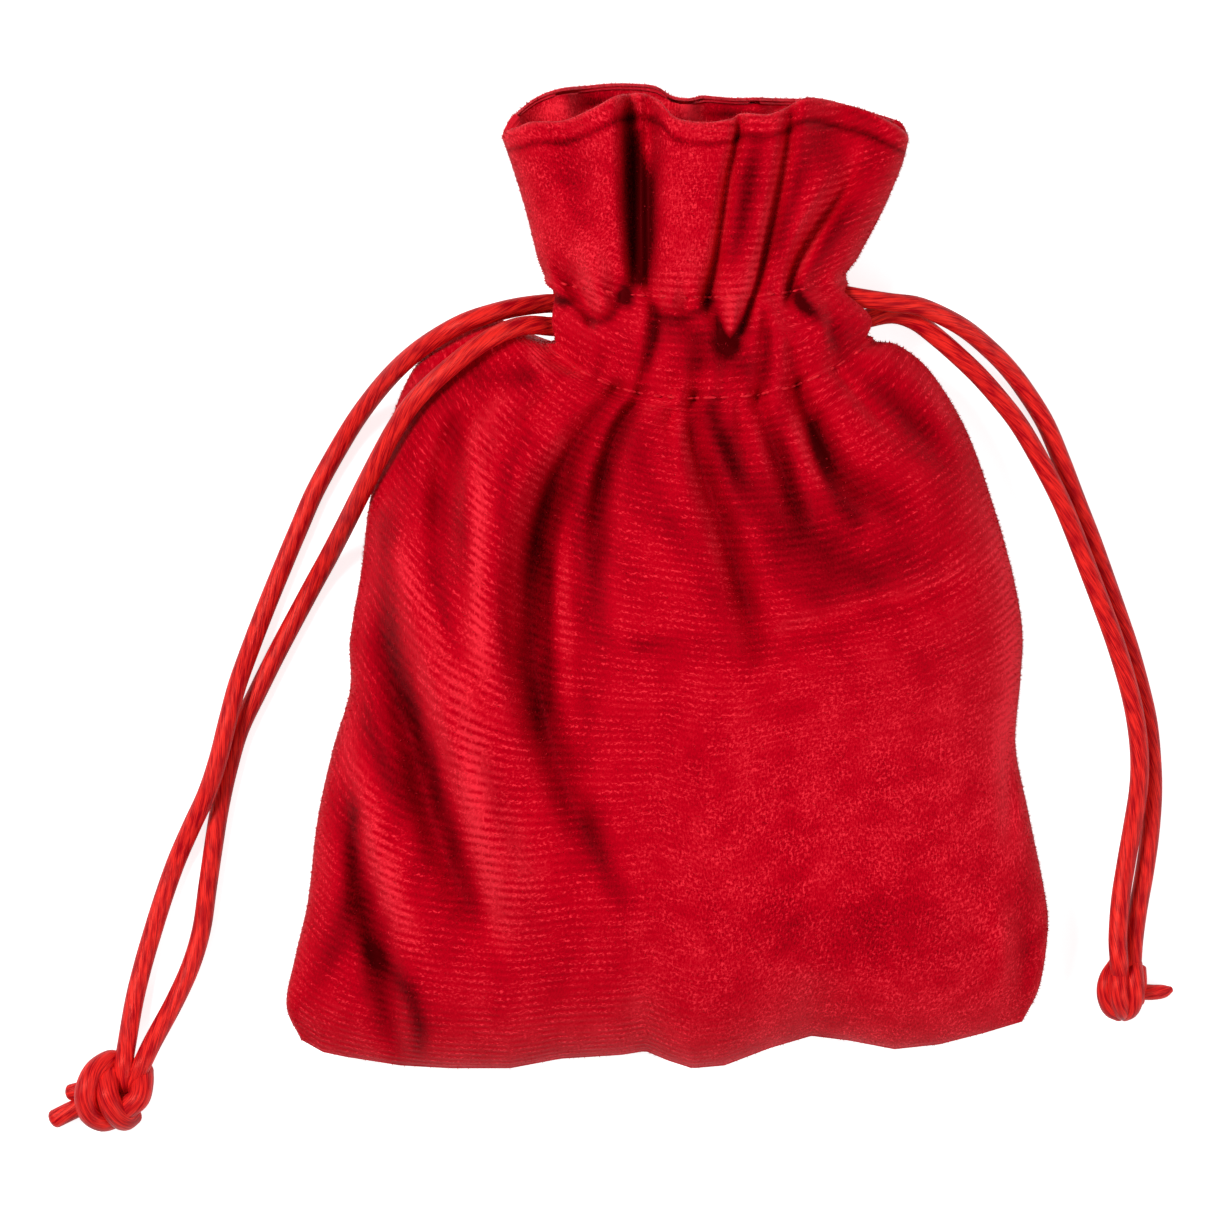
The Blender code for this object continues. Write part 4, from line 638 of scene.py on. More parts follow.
def clothPoints(side, across, station, depth, folded=True, trim=True, fine=0.0):
    # Points of a panel. across runs from -1 at the left seam to 1 at the right seam, station
    # from 0 at the bottom seam to the rim, and depth is measured into the bag.
    across, station, depth = np.broadcast_arrays(
        np.asarray(across, dtype=float), np.asarray(station, dtype=float), np.asarray(depth, dtype=float))
    rows = smoothCurve(bag["stations"], station)
    leftX, leftY, rightX, rightY, frontSag, backSag, crown, seam = (rows[..., k] * mm for k in range(8))
    front = side > 0
    rise = (crown - seam if front else seam + bag["floorPress"]) - bag["seamGap"] / 2
    if trim:
        slot = bag["slotHalf"] * smoothStep(bag["stitchLow"] + 0.05, bag["stitchLow"] + 0.4, station)
        slot = slot * (1.0 - smoothStep(bag["stitchHigh"] - 0.3, bag["stitchHigh"] - 0.02, station))
        cut = np.clip(slot / rise, 0.0, 0.9) ** bag["heightPower"]
        across = across * (1.0 - cut) ** (1.0 / bag["widthPower"])
    arch = np.clip(1.0 - np.abs(across) ** bag["widthPower"], 0.0, 1.0) ** (1.0 / bag["heightPower"])

    x = (leftX + rightX) / 2 + ((rightX - leftX) / 2 - depth) * across
    share = (x - leftX) / (rightX - leftX)
    sag = frontSag if front else backSag
    y = leftY + (rightY - leftY) * share - sag * (1.0 - np.abs(across) ** 2.5)

    # Near the bottom the rows follow the bottom seam
    edge = np.asarray(bag["bottomEdge"]) * mm
    first = np.asarray(bag["stations"][0]) * mm
    straight = first[1] + (first[3] - first[1]) * (x - first[0]) / (first[2] - first[0])
    bulge = np.interp(x, edge[:, 0], edge[:, 1]) - straight
    y = y + bulge * np.clip(1.0 - station / 3.0, 0.0, 1.0) ** 2
    climb = np.clip((y - straight - bulge) / bag["bottomRound"], 0.0, 1.0)
    lift = np.sqrt(1.0 - (1.0 - climb) ** 2)
    y = y + depth * (1.0 - climb)

    # Towards the mouth they follow its edge
    toRim = smoothStep(bag["stitchHigh"] + 0.5, bag["rim"], station)
    y = y + rimRise(bag["frontRim"] if front else bag["backRim"], share) * toRim

    # Folds fade out at the seams, and only the outer layer of the casing takes the gathers
    swell = np.zeros_like(x)
    if folded:
        nearSeam = np.clip(1.3 * arch * lift, 0.0, 1.0)
        folds = foldHeight(frontFolds + ruffleFolds, x, y) if front else foldHeight(backFolds, x, y)
        if front and fine:
            folds = folds + fine * foldHeight(fineFolds, x, y)
        ripple = gathers(across, station)
        hem = hemCrease["depth"] * fine * np.exp(-((station - hemCrease["station"]) / hemCrease["halfWidth"]) ** 2)
        folds = folds - hem if front else folds + hem
        swell = (folds + (ripple if front else np.abs(ripple))) * nearSeam
        inCasing = casingShare(station)
        outermost = depth < 0.5 * bag["thickness"]
        if front:
            held = np.maximum(swell, -0.9 * bag["gatherDepth"])
            loose = 1.0 - smoothStep(11.5, 13.0, station) * (1.0 - smoothStep(15.0, 17.0, station))
            inside = np.where(swell < 0, swell, swell * loose)
        else:
            held = np.minimum(swell, 0.9 * bag["gatherDepth"])
            inside = swell
        swell = np.where(outermost, swell + (held - swell) * inCasing, inside * (1.0 - inCasing))

    if front:
        z = seam + bag["seamGap"] / 2 + (rise - depth) * lift * arch + swell
    else:
        z = seam - bag["seamGap"] / 2 - (rise - depth) * lift * arch
        z = np.maximum(z, depth) + swell
    return np.stack([x, y, z], axis=-1)


def clothUv(points):
    # Millimetres along and across the cloth, measured on the surface. Across is measured from the
    # middle column. Along is measured from the neck near the neck, where the gathers hold the
    # cloth's rows together, and from the bottom seam further down.
    stepAcross = np.linalg.norm(np.diff(points, axis=1), axis=2) / mm
    u = np.concatenate([np.zeros((len(points), 1)), np.cumsum(stepAcross, axis=1)], axis=1)
    middle = points.shape[1] // 2
    u = u - u[:, middle:middle + 1]
    stepAlong = np.linalg.norm(np.diff(points, axis=0), axis=2) / mm
    v = np.concatenate([np.zeros((1, points.shape[1])), np.cumsum(stepAlong, axis=0)], axis=0)
    return u, v


def panelMesh(name, side, columns, rows, fine):
    # One panel as a closed wall. The outer surface is fine, and the inner surface and the casing
    # tunnel have half as many columns and rows. rows and columns are even.
    turn = np.linspace(0.0, 1.0, columns + 1)
    across = (0.6 * -np.cos(math.pi * turn) + 0.4 * (2.0 * turn - 1.0))[None, :]
    station = np.asarray(rows)[:, None]
    outer = clothPoints(side, across, station, 0.0, fine=fine)
    coarseAcross, coarseStation = across[:, ::2], station[::2]
    tunnelOuter, tunnelInner, inside = layerDepths(coarseStation)
    inner = clothPoints(side, coarseAcross, coarseStation, inside, fine=fine)
    rimDepth = layerDepths(station[-1:])[2]
    rims = []
    for share in (0.06, 0.2, 0.4, 0.6, 0.8, 0.94):
        ring = clothPoints(side, across, station[-1:], share * rimDepth, fine=fine)
        ring[..., 1] += 0.42 * rimDepth * math.sqrt(1.0 - (2.0 * share - 1.0) ** 2)
        rims.append(ring)
    inTunnel = [j for j, s in enumerate(rows[::2])
                if bag["stitchLow"] + 0.15 < s < bag["stitchHigh"] - 0.15]
    tunnelTop = clothPoints(side, coarseAcross, coarseStation[inTunnel], tunnelOuter[inTunnel])
    tunnelBottom = clothPoints(side, coarseAcross, coarseStation[inTunnel], tunnelInner[inTunnel])

    grids = [np.concatenate([outer, *rims]), inner, tunnelTop, tunnelBottom]
    starts = np.cumsum([0] + [g.shape[0] * g.shape[1] for g in grids])
    ids = [start + np.arange(g.shape[0] * g.shape[1]).reshape(g.shape[:2]) for start, g in zip(starts, grids)]
    outerIds, innerIds, topIds, bottomIds = ids
    u, _ = clothUv(grids[0])
    smooth = clothPoints(side, across, station, 0.0, folded=False, trim=False)
    _, v = clothUv(np.concatenate([smooth, *[smooth[-1:]] * len(rims)]))
    v[len(rows):] += 0.35 * np.arange(1, len(rims) + 1)[:, None]
    neckRow = int(np.argmin(np.abs(np.asarray(rows) - bag["stitchLow"])))
    fromNeck = v - v[neckRow]
    fromBottom = v - (v[neckRow].mean())
    blend = smoothStep(3.0, 9.0, np.concatenate([station[:, 0], [rows[-1]] * len(rims)]))[:, None]
    v = fromBottom * (1.0 - blend) + fromNeck * blend
    flatU = np.zeros(starts[-1])
    flatV = np.zeros(starts[-1])
    flatU[:starts[1]], flatV[:starts[1]] = u.ravel(), v.ravel()
    flatU[starts[1]:starts[2]] = u[:len(rows):2, ::2].ravel()
    flatV[starts[1]:starts[2]] = v[:len(rows):2, ::2].ravel()

    faces = []

    def skin(grid, flipped):
        a, b, c, d = grid[:-1, :-1], grid[:-1, 1:], grid[1:, 1:], grid[1:, :-1]
        quads = np.stack([a, b, c, d] if not flipped else [d, c, b, a], axis=-1).reshape(-1, 4)
        faces.extend(map(tuple, quads))

    front = side > 0
    skin(outerIds, not front)
    skin(innerIds, front)
    skin(topIds, front)
    skin(bottomIds, not front)
    skin(np.stack([topIds[0], bottomIds[0]]), front)
    skin(np.stack([bottomIds[-1], topIds[-1]]), front)

    def bridge(fineLine, coarseLine, flipped):
        # Closes a fine edge against a coarse one that has every second of its points
        for k in range(len(coarseLine) - 1):
            loop = [fineLine[2 * k], fineLine[2 * k + 1], fineLine[2 * k + 2], coarseLine[k + 1], coarseLine[k]]
            faces.append(tuple(loop[::-1] if flipped else loop))

    bridge(outerIds[0], innerIds[0], not front)
    bridge(outerIds[-1], innerIds[-1], front)
    first, last = inTunnel[0], inTunnel[-1]
    for i, k, flipped in ((0, 0, not front), (columns, columns // 2, front)):
        edge, lining = outerIds[:, i], innerIds[:, k]
        top, bottom = topIds[:, k], bottomIds[:, k]
        for j in range(len(lining) - 1):
            outerRun = [edge[2 * j + 2], edge[2 * j + 1], edge[2 * j]]
            if first <= j < last:
                t = j - first
                loops = [outerRun + [top[t], top[t + 1]], [bottom[t + 1], bottom[t], lining[j], lining[j + 1]]]
            elif j == first - 1:
                loops = [outerRun + [lining[j], lining[j + 1], bottom[0], top[0]]]
            elif j == last:
                loops = [outerRun + [top[-1], bottom[-1], lining[j], lining[j + 1]]]
            else:
                loops = [outerRun + [lining[j], lining[j + 1]]]
            for loop in loops:
                faces.append(tuple(loop if flipped else loop[::-1]))
        rimRun = list(outerIds[len(rows) - 1:, i])
        end = rimRun + [lining[-1]]
        faces.append(tuple(end[::-1] if flipped else end))

    points = np.concatenate([g.reshape(-1, 3) for g in grids])
    flat = np.concatenate([np.asarray(face) for face in faces])
    uvs = np.stack([flatU[flat], flatV[flat]], axis=-1)
    x, y = points[:, 0] / mm, points[:, 1] / mm
    paintedLight = np.zeros_like(x)
    if front:
        # Painted light from the strokes, plus painted shade in the fold valleys and painted light on their ridges
        folds = foldHeight(frontFolds + ruffleFolds, points[:, 0], points[:, 1]) / mm
        paintedLight = paintedStrokeLight(x, y) + np.clip(velvetLook["paintedFoldLight"] * folds, -0.42, 0.13)
    # Painted shade in the hem crease, and painted light on the rolled edge above it
    crease = hemCrease["paintedLight"] * np.exp(-((station - hemCrease["station"]) / hemCrease["halfWidth"]) ** 2)
    crease = crease + hemCrease["paintedRollLight"] * smoothStep(18.55, 18.8, station)
    paintedLight[:len(rows) * (columns + 1)] += (crease * np.ones_like(across)).ravel()
    # Painted light on the rolled rim
    paintedLight[len(rows) * (columns + 1):starts[1]] += 0.25
    # Painted light over the inside, with the painted shade of its pockets and the painted light of its fold
    paintedLight[starts[1]:] = 0.12 + foldHeight(paintedMouthLight, points[starts[1]:, 0], points[starts[1]:, 1]) / mm
    fringe = np.zeros_like(x)
    edge = smoothStep(0.955, 0.99, np.abs(across)) * np.ones_like(station)
    atRim = smoothStep(bag["rim"] - 0.25, bag["rim"], station) * np.ones_like(across)
    shown = np.maximum(np.maximum(edge, atRim), fringeLook["openShare"])
    fringe[:shown.size] = shown.ravel()
    fringe[shown.size:starts[1]] = 1.0
    fringe[points[:, 2] < fringeLook["clear"]] = 0.0
    attributes = {"ribs": ribStrength(x, y), "paintedLight": paintedLight, "fringe": fringe}
    return buildMesh(name, points, faces, uvs, attributes)


def velvetGroup():
    # Cross ribs of the knit, short dashes of pile, lighter tips with painted glints of light in them, mostly on the
    # ribs, and the painted light and shade that come in as a tone
    tree, entry, finish = newGroup(
        "velvetPile",
        [("Cloth", "NodeSocketVector", None), ("Ribs", "NodeSocketFloat", 1.0),
         ("Painted light", "NodeSocketFloat", 0.0), ("Rib pitch", "NodeSocketFloat", 0.89)],
        [("Shade", "NodeSocketFloat"), ("Height", "NodeSocketFloat")])
    split = addNode(tree, "ShaderNodeSeparateXYZ", {0: entry.outputs["Cloth"]})
    across, along = split.outputs[0], split.outputs[1]

    def noise(scaleAcross, scaleAlong, detail, roughness=0.5):
        place = addNode(tree, "ShaderNodeCombineXYZ", {0: maths(tree, "MULTIPLY", across, scaleAcross),
                                                       1: maths(tree, "MULTIPLY", along, scaleAlong)})
        made = addNode(tree, "ShaderNodeTexNoise", {"Vector": place.outputs[0], "Scale": 1.0, "Detail": detail,
                                                    "Roughness": roughness}, noise_dimensions="2D")
        return maths(tree, "SUBTRACT", made.outputs[0], 0.5)

    wander = noise(0.12, 0.12, 2.0)
    turns = maths(tree, "DIVIDE", along, entry.outputs["Rib pitch"])
    turns = maths(tree, "MULTIPLY_ADD", wander, 0.7, turns)
    wave = maths(tree, "SINE", maths(tree, "MULTIPLY", turns, 2.0 * math.pi))
    broken = maths(tree, "MULTIPLY_ADD", noise(0.7, 0.4, 2.0), 3.5, 0.7, clamp=True)
    rib = maths(tree, "MULTIPLY", maths(tree, "MULTIPLY", wave, broken), entry.outputs["Ribs"])
    onRib = maths(tree, "MULTIPLY_ADD", rib, 0.5, 0.42, clamp=True)
    dash = maths(tree, "MULTIPLY_ADD", noise(2.7, 4.4, 2.0, 0.6), 6.0, -0.1, clamp=True)
    dashes = maths(tree, "MULTIPLY", dash, maths(tree, "POWER", onRib, 1.4))
    speck = noise(4.6, 3.2, 2.0, 0.6)
    patch = noise(0.22, 0.16, 3.0)
    clumps = maths(tree, "MULTIPLY_ADD", noise(0.30, 0.42, 2.0), 3.5, 0.75, clamp=True)
    # Painted light makes the dashes brighter, painted shade makes them dimmer
    paintedLightGain = maths(tree, "MULTIPLY_ADD", entry.outputs["Painted light"], 2.0, 0.75, clamp=True)
    loose = maths(tree, "SUBTRACT", 1.0, entry.outputs["Ribs"], clamp=True)
    upright = maths(tree, "MULTIPLY_ADD", noise(3.6, 1.9, 2.0, 0.6), 6.0, -0.35, clamp=True)
    dashes = maths(tree, "MULTIPLY_ADD", maths(tree, "MULTIPLY", upright, loose), 0.75, dashes)
    dashes = maths(tree, "MULTIPLY", dashes, maths(tree, "MULTIPLY", clumps, paintedLightGain))
    shade = maths(tree, "MULTIPLY_ADD", rib, 0.045, 0.47)
    shade = maths(tree, "MULTIPLY_ADD", speck, 0.30, shade)
    shade = maths(tree, "MULTIPLY_ADD", maths(tree, "MULTIPLY", noise(6.0, 2.4, 3.0, 0.6), loose), 0.9, shade)
    # The dashes lighten the colour: lighter pile tips and painted glints together
    shade = maths(tree, "MULTIPLY_ADD", dashes, 1.3, shade)
    shade = maths(tree, "MULTIPLY_ADD", patch, 0.30, shade)
    # Painted shade darkens the colour, and painted light lightens it, most in the dashes and on the ribs
    lit = maths(tree, "MAXIMUM", entry.outputs["Painted light"], 0.0)
    shade = maths(tree, "ADD", shade, maths(tree, "MINIMUM", entry.outputs["Painted light"], 0.0))
    catches = maths(tree, "MULTIPLY_ADD", upright, 1.1, maths(tree, "MULTIPLY_ADD", onRib, 1.0, 0.2))
    shade = maths(tree, "MULTIPLY_ADD", lit, catches, shade)
    height = maths(tree, "MULTIPLY_ADD", speck, 0.6, maths(tree, "MULTIPLY", rib, 0.3))
    tree.links.new(shade, finish.inputs["Shade"])
    tree.links.new(height, finish.inputs["Height"])
    return tree


velvetPile = velvetGroup()
fringeLook = {
    "density": 8.0e6, "openShare": 0.12, "length": 0.32 * mm, "thickness": 0.09 * mm, "lean": 0.6, "seed": 7,
    "clear": 0.60 * mm,
}


def velvetMaterial(name, look):
    material, tree, shader = newMaterial(name)
    uv = addNode(tree, "ShaderNodeUVMap", uv_map="cloth")
    ribs = addNode(tree, "ShaderNodeAttribute", attribute_name="ribs")
    paintedLight = addNode(tree, "ShaderNodeAttribute", attribute_name="paintedLight")
    pile = addNode(tree, "ShaderNodeGroup", node_tree=velvetPile)
    tree.links.new(uv.outputs[0], pile.inputs["Cloth"])
    tree.links.new(ribs.outputs["Fac"], pile.inputs["Ribs"])
    tree.links.new(paintedLight.outputs["Fac"], pile.inputs["Painted light"])
    # Painted sheen: the colour is lighter where the cloth turns away from the view
    grazing = addNode(tree, "ShaderNodeLayerWeight", {"Blend": look["grazingBlend"]})
    shade = maths(tree, "MULTIPLY_ADD", grazing.outputs["Facing"], look["paintedSheenGain"], pile.outputs["Shade"],
                  clamp=True)
    # The colour runs from the red of painted shade through the cloth's own red to the red of the light pile and painted
    # light
    deep = mixColour(tree, maths(tree, "MULTIPLY", shade, 2.0, clamp=True), look["deep"], look["middle"])
    bright = maths(tree, "MULTIPLY_ADD", shade, 2.0, -1.0, clamp=True)
    colour = mixColour(tree, bright, deep, look["bright"])
    bump = addNode(tree, "ShaderNodeBump", {"Height": pile.outputs["Height"], "Strength": look["bump"],
                                            "Distance": 0.12 * mm})
    tree.links.new(colour, shader.inputs["Base Color"])
    tree.links.new(bump.outputs[0], shader.inputs["Normal"])
    shader.inputs["Roughness"].default_value = look["roughness"]
    shader.inputs["Specular IOR Level"].default_value = look["specular"]
    shader.inputs["Specular Tint"].default_value = look["sheenTint"]
    shader.inputs["Sheen Weight"].default_value = look["sheen"]
    shader.inputs["Sheen Roughness"].default_value = look["sheenRoughness"]
    shader.inputs["Sheen Tint"].default_value = look["sheenTint"]
    return material


# deep is the red that painted shade darkens towards, middle the cloth's own red, bright the red that the pile's light
# dashes and painted light lighten towards
velvetLook = {
    "deep": (0.07, 0.000, 0.001, 1.0), "middle": (0.56, 0.000, 0.010, 1.0), "bright": (0.95, 0.025, 0.046, 1.0),
    "grazingBlend": 0.35, "paintedSheenGain": 0.16, "bump": 0.5, "paintedFoldLight": 0.11,
    "roughness": 0.5, "specular": 0.12,
    "sheen": 0.25, "sheenRoughness": 0.35, "sheenTint": (1.0, 0.05, 0.07, 1.0),
}
velvet = velvetMaterial("redVelvet", velvetLook)
print("velvet ready")

# Cords: the free strands from the side seam to the knot, in millimetres as in the solids, each
# followed by its last stretch inside the knot

cordLook = {"diameter": 2.0 * mm, "step": 0.8 * mm, "sides": 28, "lowLane": 13.62, "highLane": 14.40,
            "turnIn": 1.5 * mm}
strands = {
    "leftFrontStrand": {
        "node": "left_drawstring", "exit": (-12.0, 26.0, 9.4), "length": 0.104,
        "route": (
            (-9.5, 25.8, 9.9), (-12.0, 26.0, 9.4), (-14.4, 26.1, 11.6), (-16.7, 25.5, 13.4), (-19.2, 24.2, 14.1),
            (-21.4, 22.6, 14.2), (-24.0, 20.4, 14.0), (-26.4, 18.0, 13.5), (-28.2, 15.4, 12.7),
            (-29.9, 12.4, 11.6), (-31.7, 9.0, 9.2), (-33.7, 5.2, 5.4), (-35.5, 1.9, 2.4), (-37.4, -1.5, 1.15),
            (-40.7, -7.7, 1.05), (-42.8, -11.9, 1.05), (-44.8, -16.1, 1.05), (-46.0, -20.2, 1.05),
            (-46.9, -24.3, 1.05), (-47.6, -28.7, 1.05), (-48.2, -32.8, 1.05), (-48.8, -37.0, 1.05),
            (-49.9, -40.8, 1.2), (-51.6, -44.6, 1.6), (-53.9, -48.9, 2.6), (-54.9, -51.0, 3.3),
            (-55.7, -52.5, 3.1), (-56.3, -53.4, 2.4),
        )},
    "leftBackStrand": {
        "node": "left_drawstring", "exit": (-12.0, 28.5, 7.0), "length": 0.107,
        "route": (
            (-10.2, 28.3, 6.9), (-12.0, 28.5, 7.0), (-15.2, 28.1, 9.2), (-18.0, 27.4, 11.5), (-21.0, 26.4, 12.0),
            (-24.0, 24.8, 11.1), (-26.6, 23.0, 9.0), (-29.0, 20.8, 6.2), (-31.4, 18.0, 3.4), (-33.6, 14.8, 1.6),
            (-36.7, 9.3, 1.05), (-38.6, 5.0, 1.05), (-40.2, 1.2, 1.05), (-42.0, -3.2, 1.1), (-43.6, -7.4, 1.6),
            (-45.0, -11.4, 2.7), (-46.0, -15.2, 3.35), (-47.0, -19.2, 3.4), (-48.2, -22.8, 3.2),
            (-49.8, -26.2, 2.0), (-51.4, -29.8, 1.1), (-52.7, -33.4, 1.05), (-53.9, -37.2, 1.05),
            (-55.0, -41.0, 1.1), (-55.9, -44.8, 1.5), (-56.6, -49.1, 2.6), (-56.9, -51.2, 3.3),
            (-57.0, -52.6, 3.1), (-57.0, -53.6, 2.4),
        )},
    "rightFrontStrand": {
        "node": "right_drawstring", "exit": (20.8, 28.9, 9.1), "length": 0.089,
        "route": (
            (18.1, 29.4, 8.8), (20.8, 28.9, 9.1), (23.6, 28.5, 8.6), (26.2, 28.2, 7.8), (28.8, 27.2, 6.6),
            (31.2, 25.9, 5.2), (33.4, 24.2, 3.6), (35.6, 22.1, 2.2), (37.6, 19.6, 1.3), (39.8, 16.1, 1.05),
            (41.5, 12.1, 1.05), (43.1, 7.9, 1.05), (44.7, 3.8, 1.05), (46.2, -0.4, 1.05), (47.6, -4.4, 1.05),
            (48.7, -7.7, 1.05), (49.8, -11.7, 1.05), (50.6, -15.3, 1.05), (51.0, -19.2, 1.05),
            (51.1, -22.9, 1.05), (50.8, -27.1, 1.05), (50.2, -31.3, 1.05), (49.6, -34.6, 1.2),
            (49.1, -38.0, 1.8), (48.9, -40.2, 2.6), (48.8, -41.8, 2.6),
        )},
    "rightBackStrand": {
        "node": "right_drawstring", "exit": (20.8, 26.9, 6.2), "length": 0.084,
        "route": (
            (18.9, 26.5, 6.5), (20.8, 26.9, 6.2), (23.6, 27.4, 5.9), (26.0, 26.7, 5.4), (28.3, 25.0, 5.2),
            (30.6, 23.0, 4.9), (32.8, 20.9, 4.6), (35.0, 18.4, 4.3), (37.0, 15.8, 4.0), (39.3, 11.9, 3.6),
            (41.4, 7.8, 3.4), (43.0, 3.9, 3.35), (44.6, -0.3, 3.35), (46.0, -4.0, 3.35), (47.2, -7.4, 3.35),
            (48.4, -11.4, 3.35), (49.2, -15.1, 3.35), (49.6, -18.9, 3.3), (49.5, -22.3, 3.2),
            (48.9, -26.2, 2.9), (48.2, -30.2, 2.9), (47.6, -34.0, 3.2), (47.3, -37.9, 4.0),
            (47.4, -40.2, 4.5), (47.5, -41.9, 3.7),
        )},
}


def lanePoints(side, across, station):
    # Centre line of a cord that keeps to its lane inside the casing
    tunnelOuter, tunnelInner, _ = layerDepths(np.asarray(station, dtype=float))
    return clothPoints(side, across, station, (tunnelOuter + tunnelInner) / 2, folded=False, trim=False)


def casingRun(frontStart, backStart, exitSide, frontLane, backLane):
    places = exitSide * np.array([0.90, 0.75, 0.5, 0.25, 0.0, -0.25, -0.5, -0.75, -0.88, -0.95])
    frontRun = lanePoints(1, places, frontLane)
    backRun = lanePoints(-1, places[::-1], backLane)
    turn = lanePoints(1, -exitSide, (frontLane + backLane) / 2)
    turn = np.array([turn[0] + exitSide * cordLook["turnIn"], (frontRun[-1, 1] + backRun[0, 1]) / 2, turn[2]])
    return np.concatenate([[frontStart], frontRun, [turn], backRun, [backStart]])


cordPieces = {}
for name, strand in strands.items():
    path = evenPath(np.asarray(strand["route"]) * mm, cordLook["step"])
    data = tubesMesh(name, [(path, cordLook["diameter"] / 2, 1.0)], cordLook["sides"])
    cordPieces[name] = addPiece(name, data, satin)
    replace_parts(cordPieces[name], strand["node"])
    strand["path"] = path
    print("strand", name, "length", round(pathLength(path), 4))

for name, frontName, backName, exitSide, frontLane, backLane in (
        ("leftCasingRun", "leftFrontStrand", "leftBackStrand", -1.0, cordLook["lowLane"], cordLook["highLane"]),
        ("rightCasingRun", "rightFrontStrand", "rightBackStrand", 1.0, cordLook["highLane"], cordLook["lowLane"])):
    guide = casingRun(strands[frontName]["path"][0], strands[backName]["path"][0], exitSide, frontLane, backLane)
    data = tubesMesh(name, [(evenPath(guide, cordLook["step"]), cordLook["diameter"] / 2, 1.0)], cordLook["sides"])
    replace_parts(addPiece(name, data, satin), strands[frontName]["node"])

# Knots: strokes of x, y, z and radius, in millimetres; the wraps that show, then the cut tails
knots = {
    "leftKnot": {
        "node": "left_knot", "strands": ("leftFrontStrand", "leftBackStrand"),
        "wraps": (
            ((-57.3, -50.9, 1.9, 0.9), (-58.4, -50.8, 2.5, 1.1), (-60.0, -52.0, 3.7, 1.2),
             (-60.8, -54.2, 4.2, 1.25), (-60.5, -56.2, 3.6, 1.2), (-59.2, -57.2, 2.6, 1.1), (-57.6, -57.0, 1.6, 0.9)),
            ((-57.9, -51.8, 2.2, 0.9), (-58.5, -52.6, 3.4, 1.1), (-58.5, -54.3, 4.5, 1.2), (-57.9, -56.0, 4.2, 1.25),
             (-56.9, -57.0, 3.0, 1.2), (-55.9, -56.6, 1.8, 1.0)),
            ((-54.8, -51.8, 1.9, 1.0), (-54.9, -53.2, 3.2, 1.15), (-55.3, -54.7, 3.9, 1.2), (-56.5, -55.7, 3.6, 1.2),
             (-57.6, -56.4, 2.6, 1.1)),
            ((-60.4, -53.0, 1.5, 1.2), (-57.9, -54.4, 1.6, 1.4), (-56.0, -55.2, 1.6, 1.4)),
        ),
        "tails": (
            ((-60.6, -53.9, 1.8, 0.95), (-61.8, -54.1, 1.6, 0.95), (-62.6, -54.2, 1.5, 0.85)),
            ((-60.4, -55.2, 1.9, 1.0), (-62.4, -56.1, 1.5, 1.0), (-64.2, -57.0, 1.2, 1.0)),
        )},
    "rightKnot": {
        "node": "right_knot", "strands": ("rightFrontStrand", "rightBackStrand"),
        "wraps": (
            ((47.2, -40.6, 2.4, 0.8), (46.3, -42.2, 3.0, 0.95), (46.1, -43.8, 3.1, 1.0), (46.6, -45.3, 2.7, 0.95),
             (47.6, -46.0, 2.0, 0.8)),
            ((47.6, -40.9, 3.2, 0.9), (47.4, -42.4, 3.9, 1.05), (47.4, -44.0, 3.9, 1.1), (47.7, -45.4, 2.9, 1.0),
             (47.9, -45.9, 2.0, 0.8)),
            ((49.1, -40.6, 2.6, 0.85), (49.1, -42.2, 3.3, 1.0), (49.1, -43.9, 3.3, 1.05), (48.7, -45.4, 2.6, 0.95),
             (48.0, -46.0, 1.9, 0.8)),
            ((49.7, -41.2, 1.8, 0.7), (49.7, -42.8, 2.2, 0.75), (49.4, -44.6, 2.0, 0.8)),
            ((46.9, -42.6, 1.5, 1.3), (48.0, -44.2, 1.5, 1.4), (48.9, -43.0, 1.5, 1.3)),
        ),
        "tails": (
            ((49.4, -43.6, 1.9, 0.85), (51.0, -43.7, 1.5, 0.82), (52.3, -43.6, 1.2, 0.7), (53.0, -43.4, 1.05, 0.35)),
        )},
}
for name, knot in knots.items():
    tubes = []
    for stroke in knot["wraps"] + knot["tails"]:
        path = evenPath(np.asarray(stroke) * mm, 0.3 * mm)
        tubes.append((path[:, :3], path[:, 3], 1.0))
    piece = addPiece(name, tubesMesh(name, tubes, 26), satin)
    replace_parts(piece, knot["node"])
    for strandName in knot["strands"]:
        strand = strands[strandName]
print("cords and knots made")

# The two panels
panelDensity = {"frontColumns": 200, "backColumns": 120, "frontStep": 0.085, "backStep": 0.16}


def stationRows(step):
    # An even number of row intervals, closer together at the bottom seam and in the casing
    rows = [0.0, 0.04, 0.1, 0.18, 0.28, 0.4]
    while rows[-1] < bag["rim"] - step:
        inCasing = 12.6 < rows[-1] < 15.4
        rows.append(rows[-1] + step * (0.7 if inCasing else 1.0))
    rows.append(bag["rim"])
    if len(rows) % 2 == 0:
        rows.insert(-1, (rows[-1] + rows[-2]) / 2)
    return rows


frontPanel = addPiece("frontPanel", panelMesh("frontPanel", 1, panelDensity["frontColumns"],
                                              stationRows(panelDensity["frontStep"]), 1.0), velvet)
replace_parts(frontPanel, "front_panel")
backPanel = addPiece("backPanel", panelMesh("backPanel", -1, panelDensity["backColumns"],
                                            stationRows(panelDensity["backStep"]), 1.0), velvet)
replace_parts(backPanel, "back_panel")
for piece in (frontPanel, backPanel):
    print(piece.name, "faces", len(piece.data.polygons))

# Loose pile along the edges, and the stitches of the casing, made with Geometry Nodes


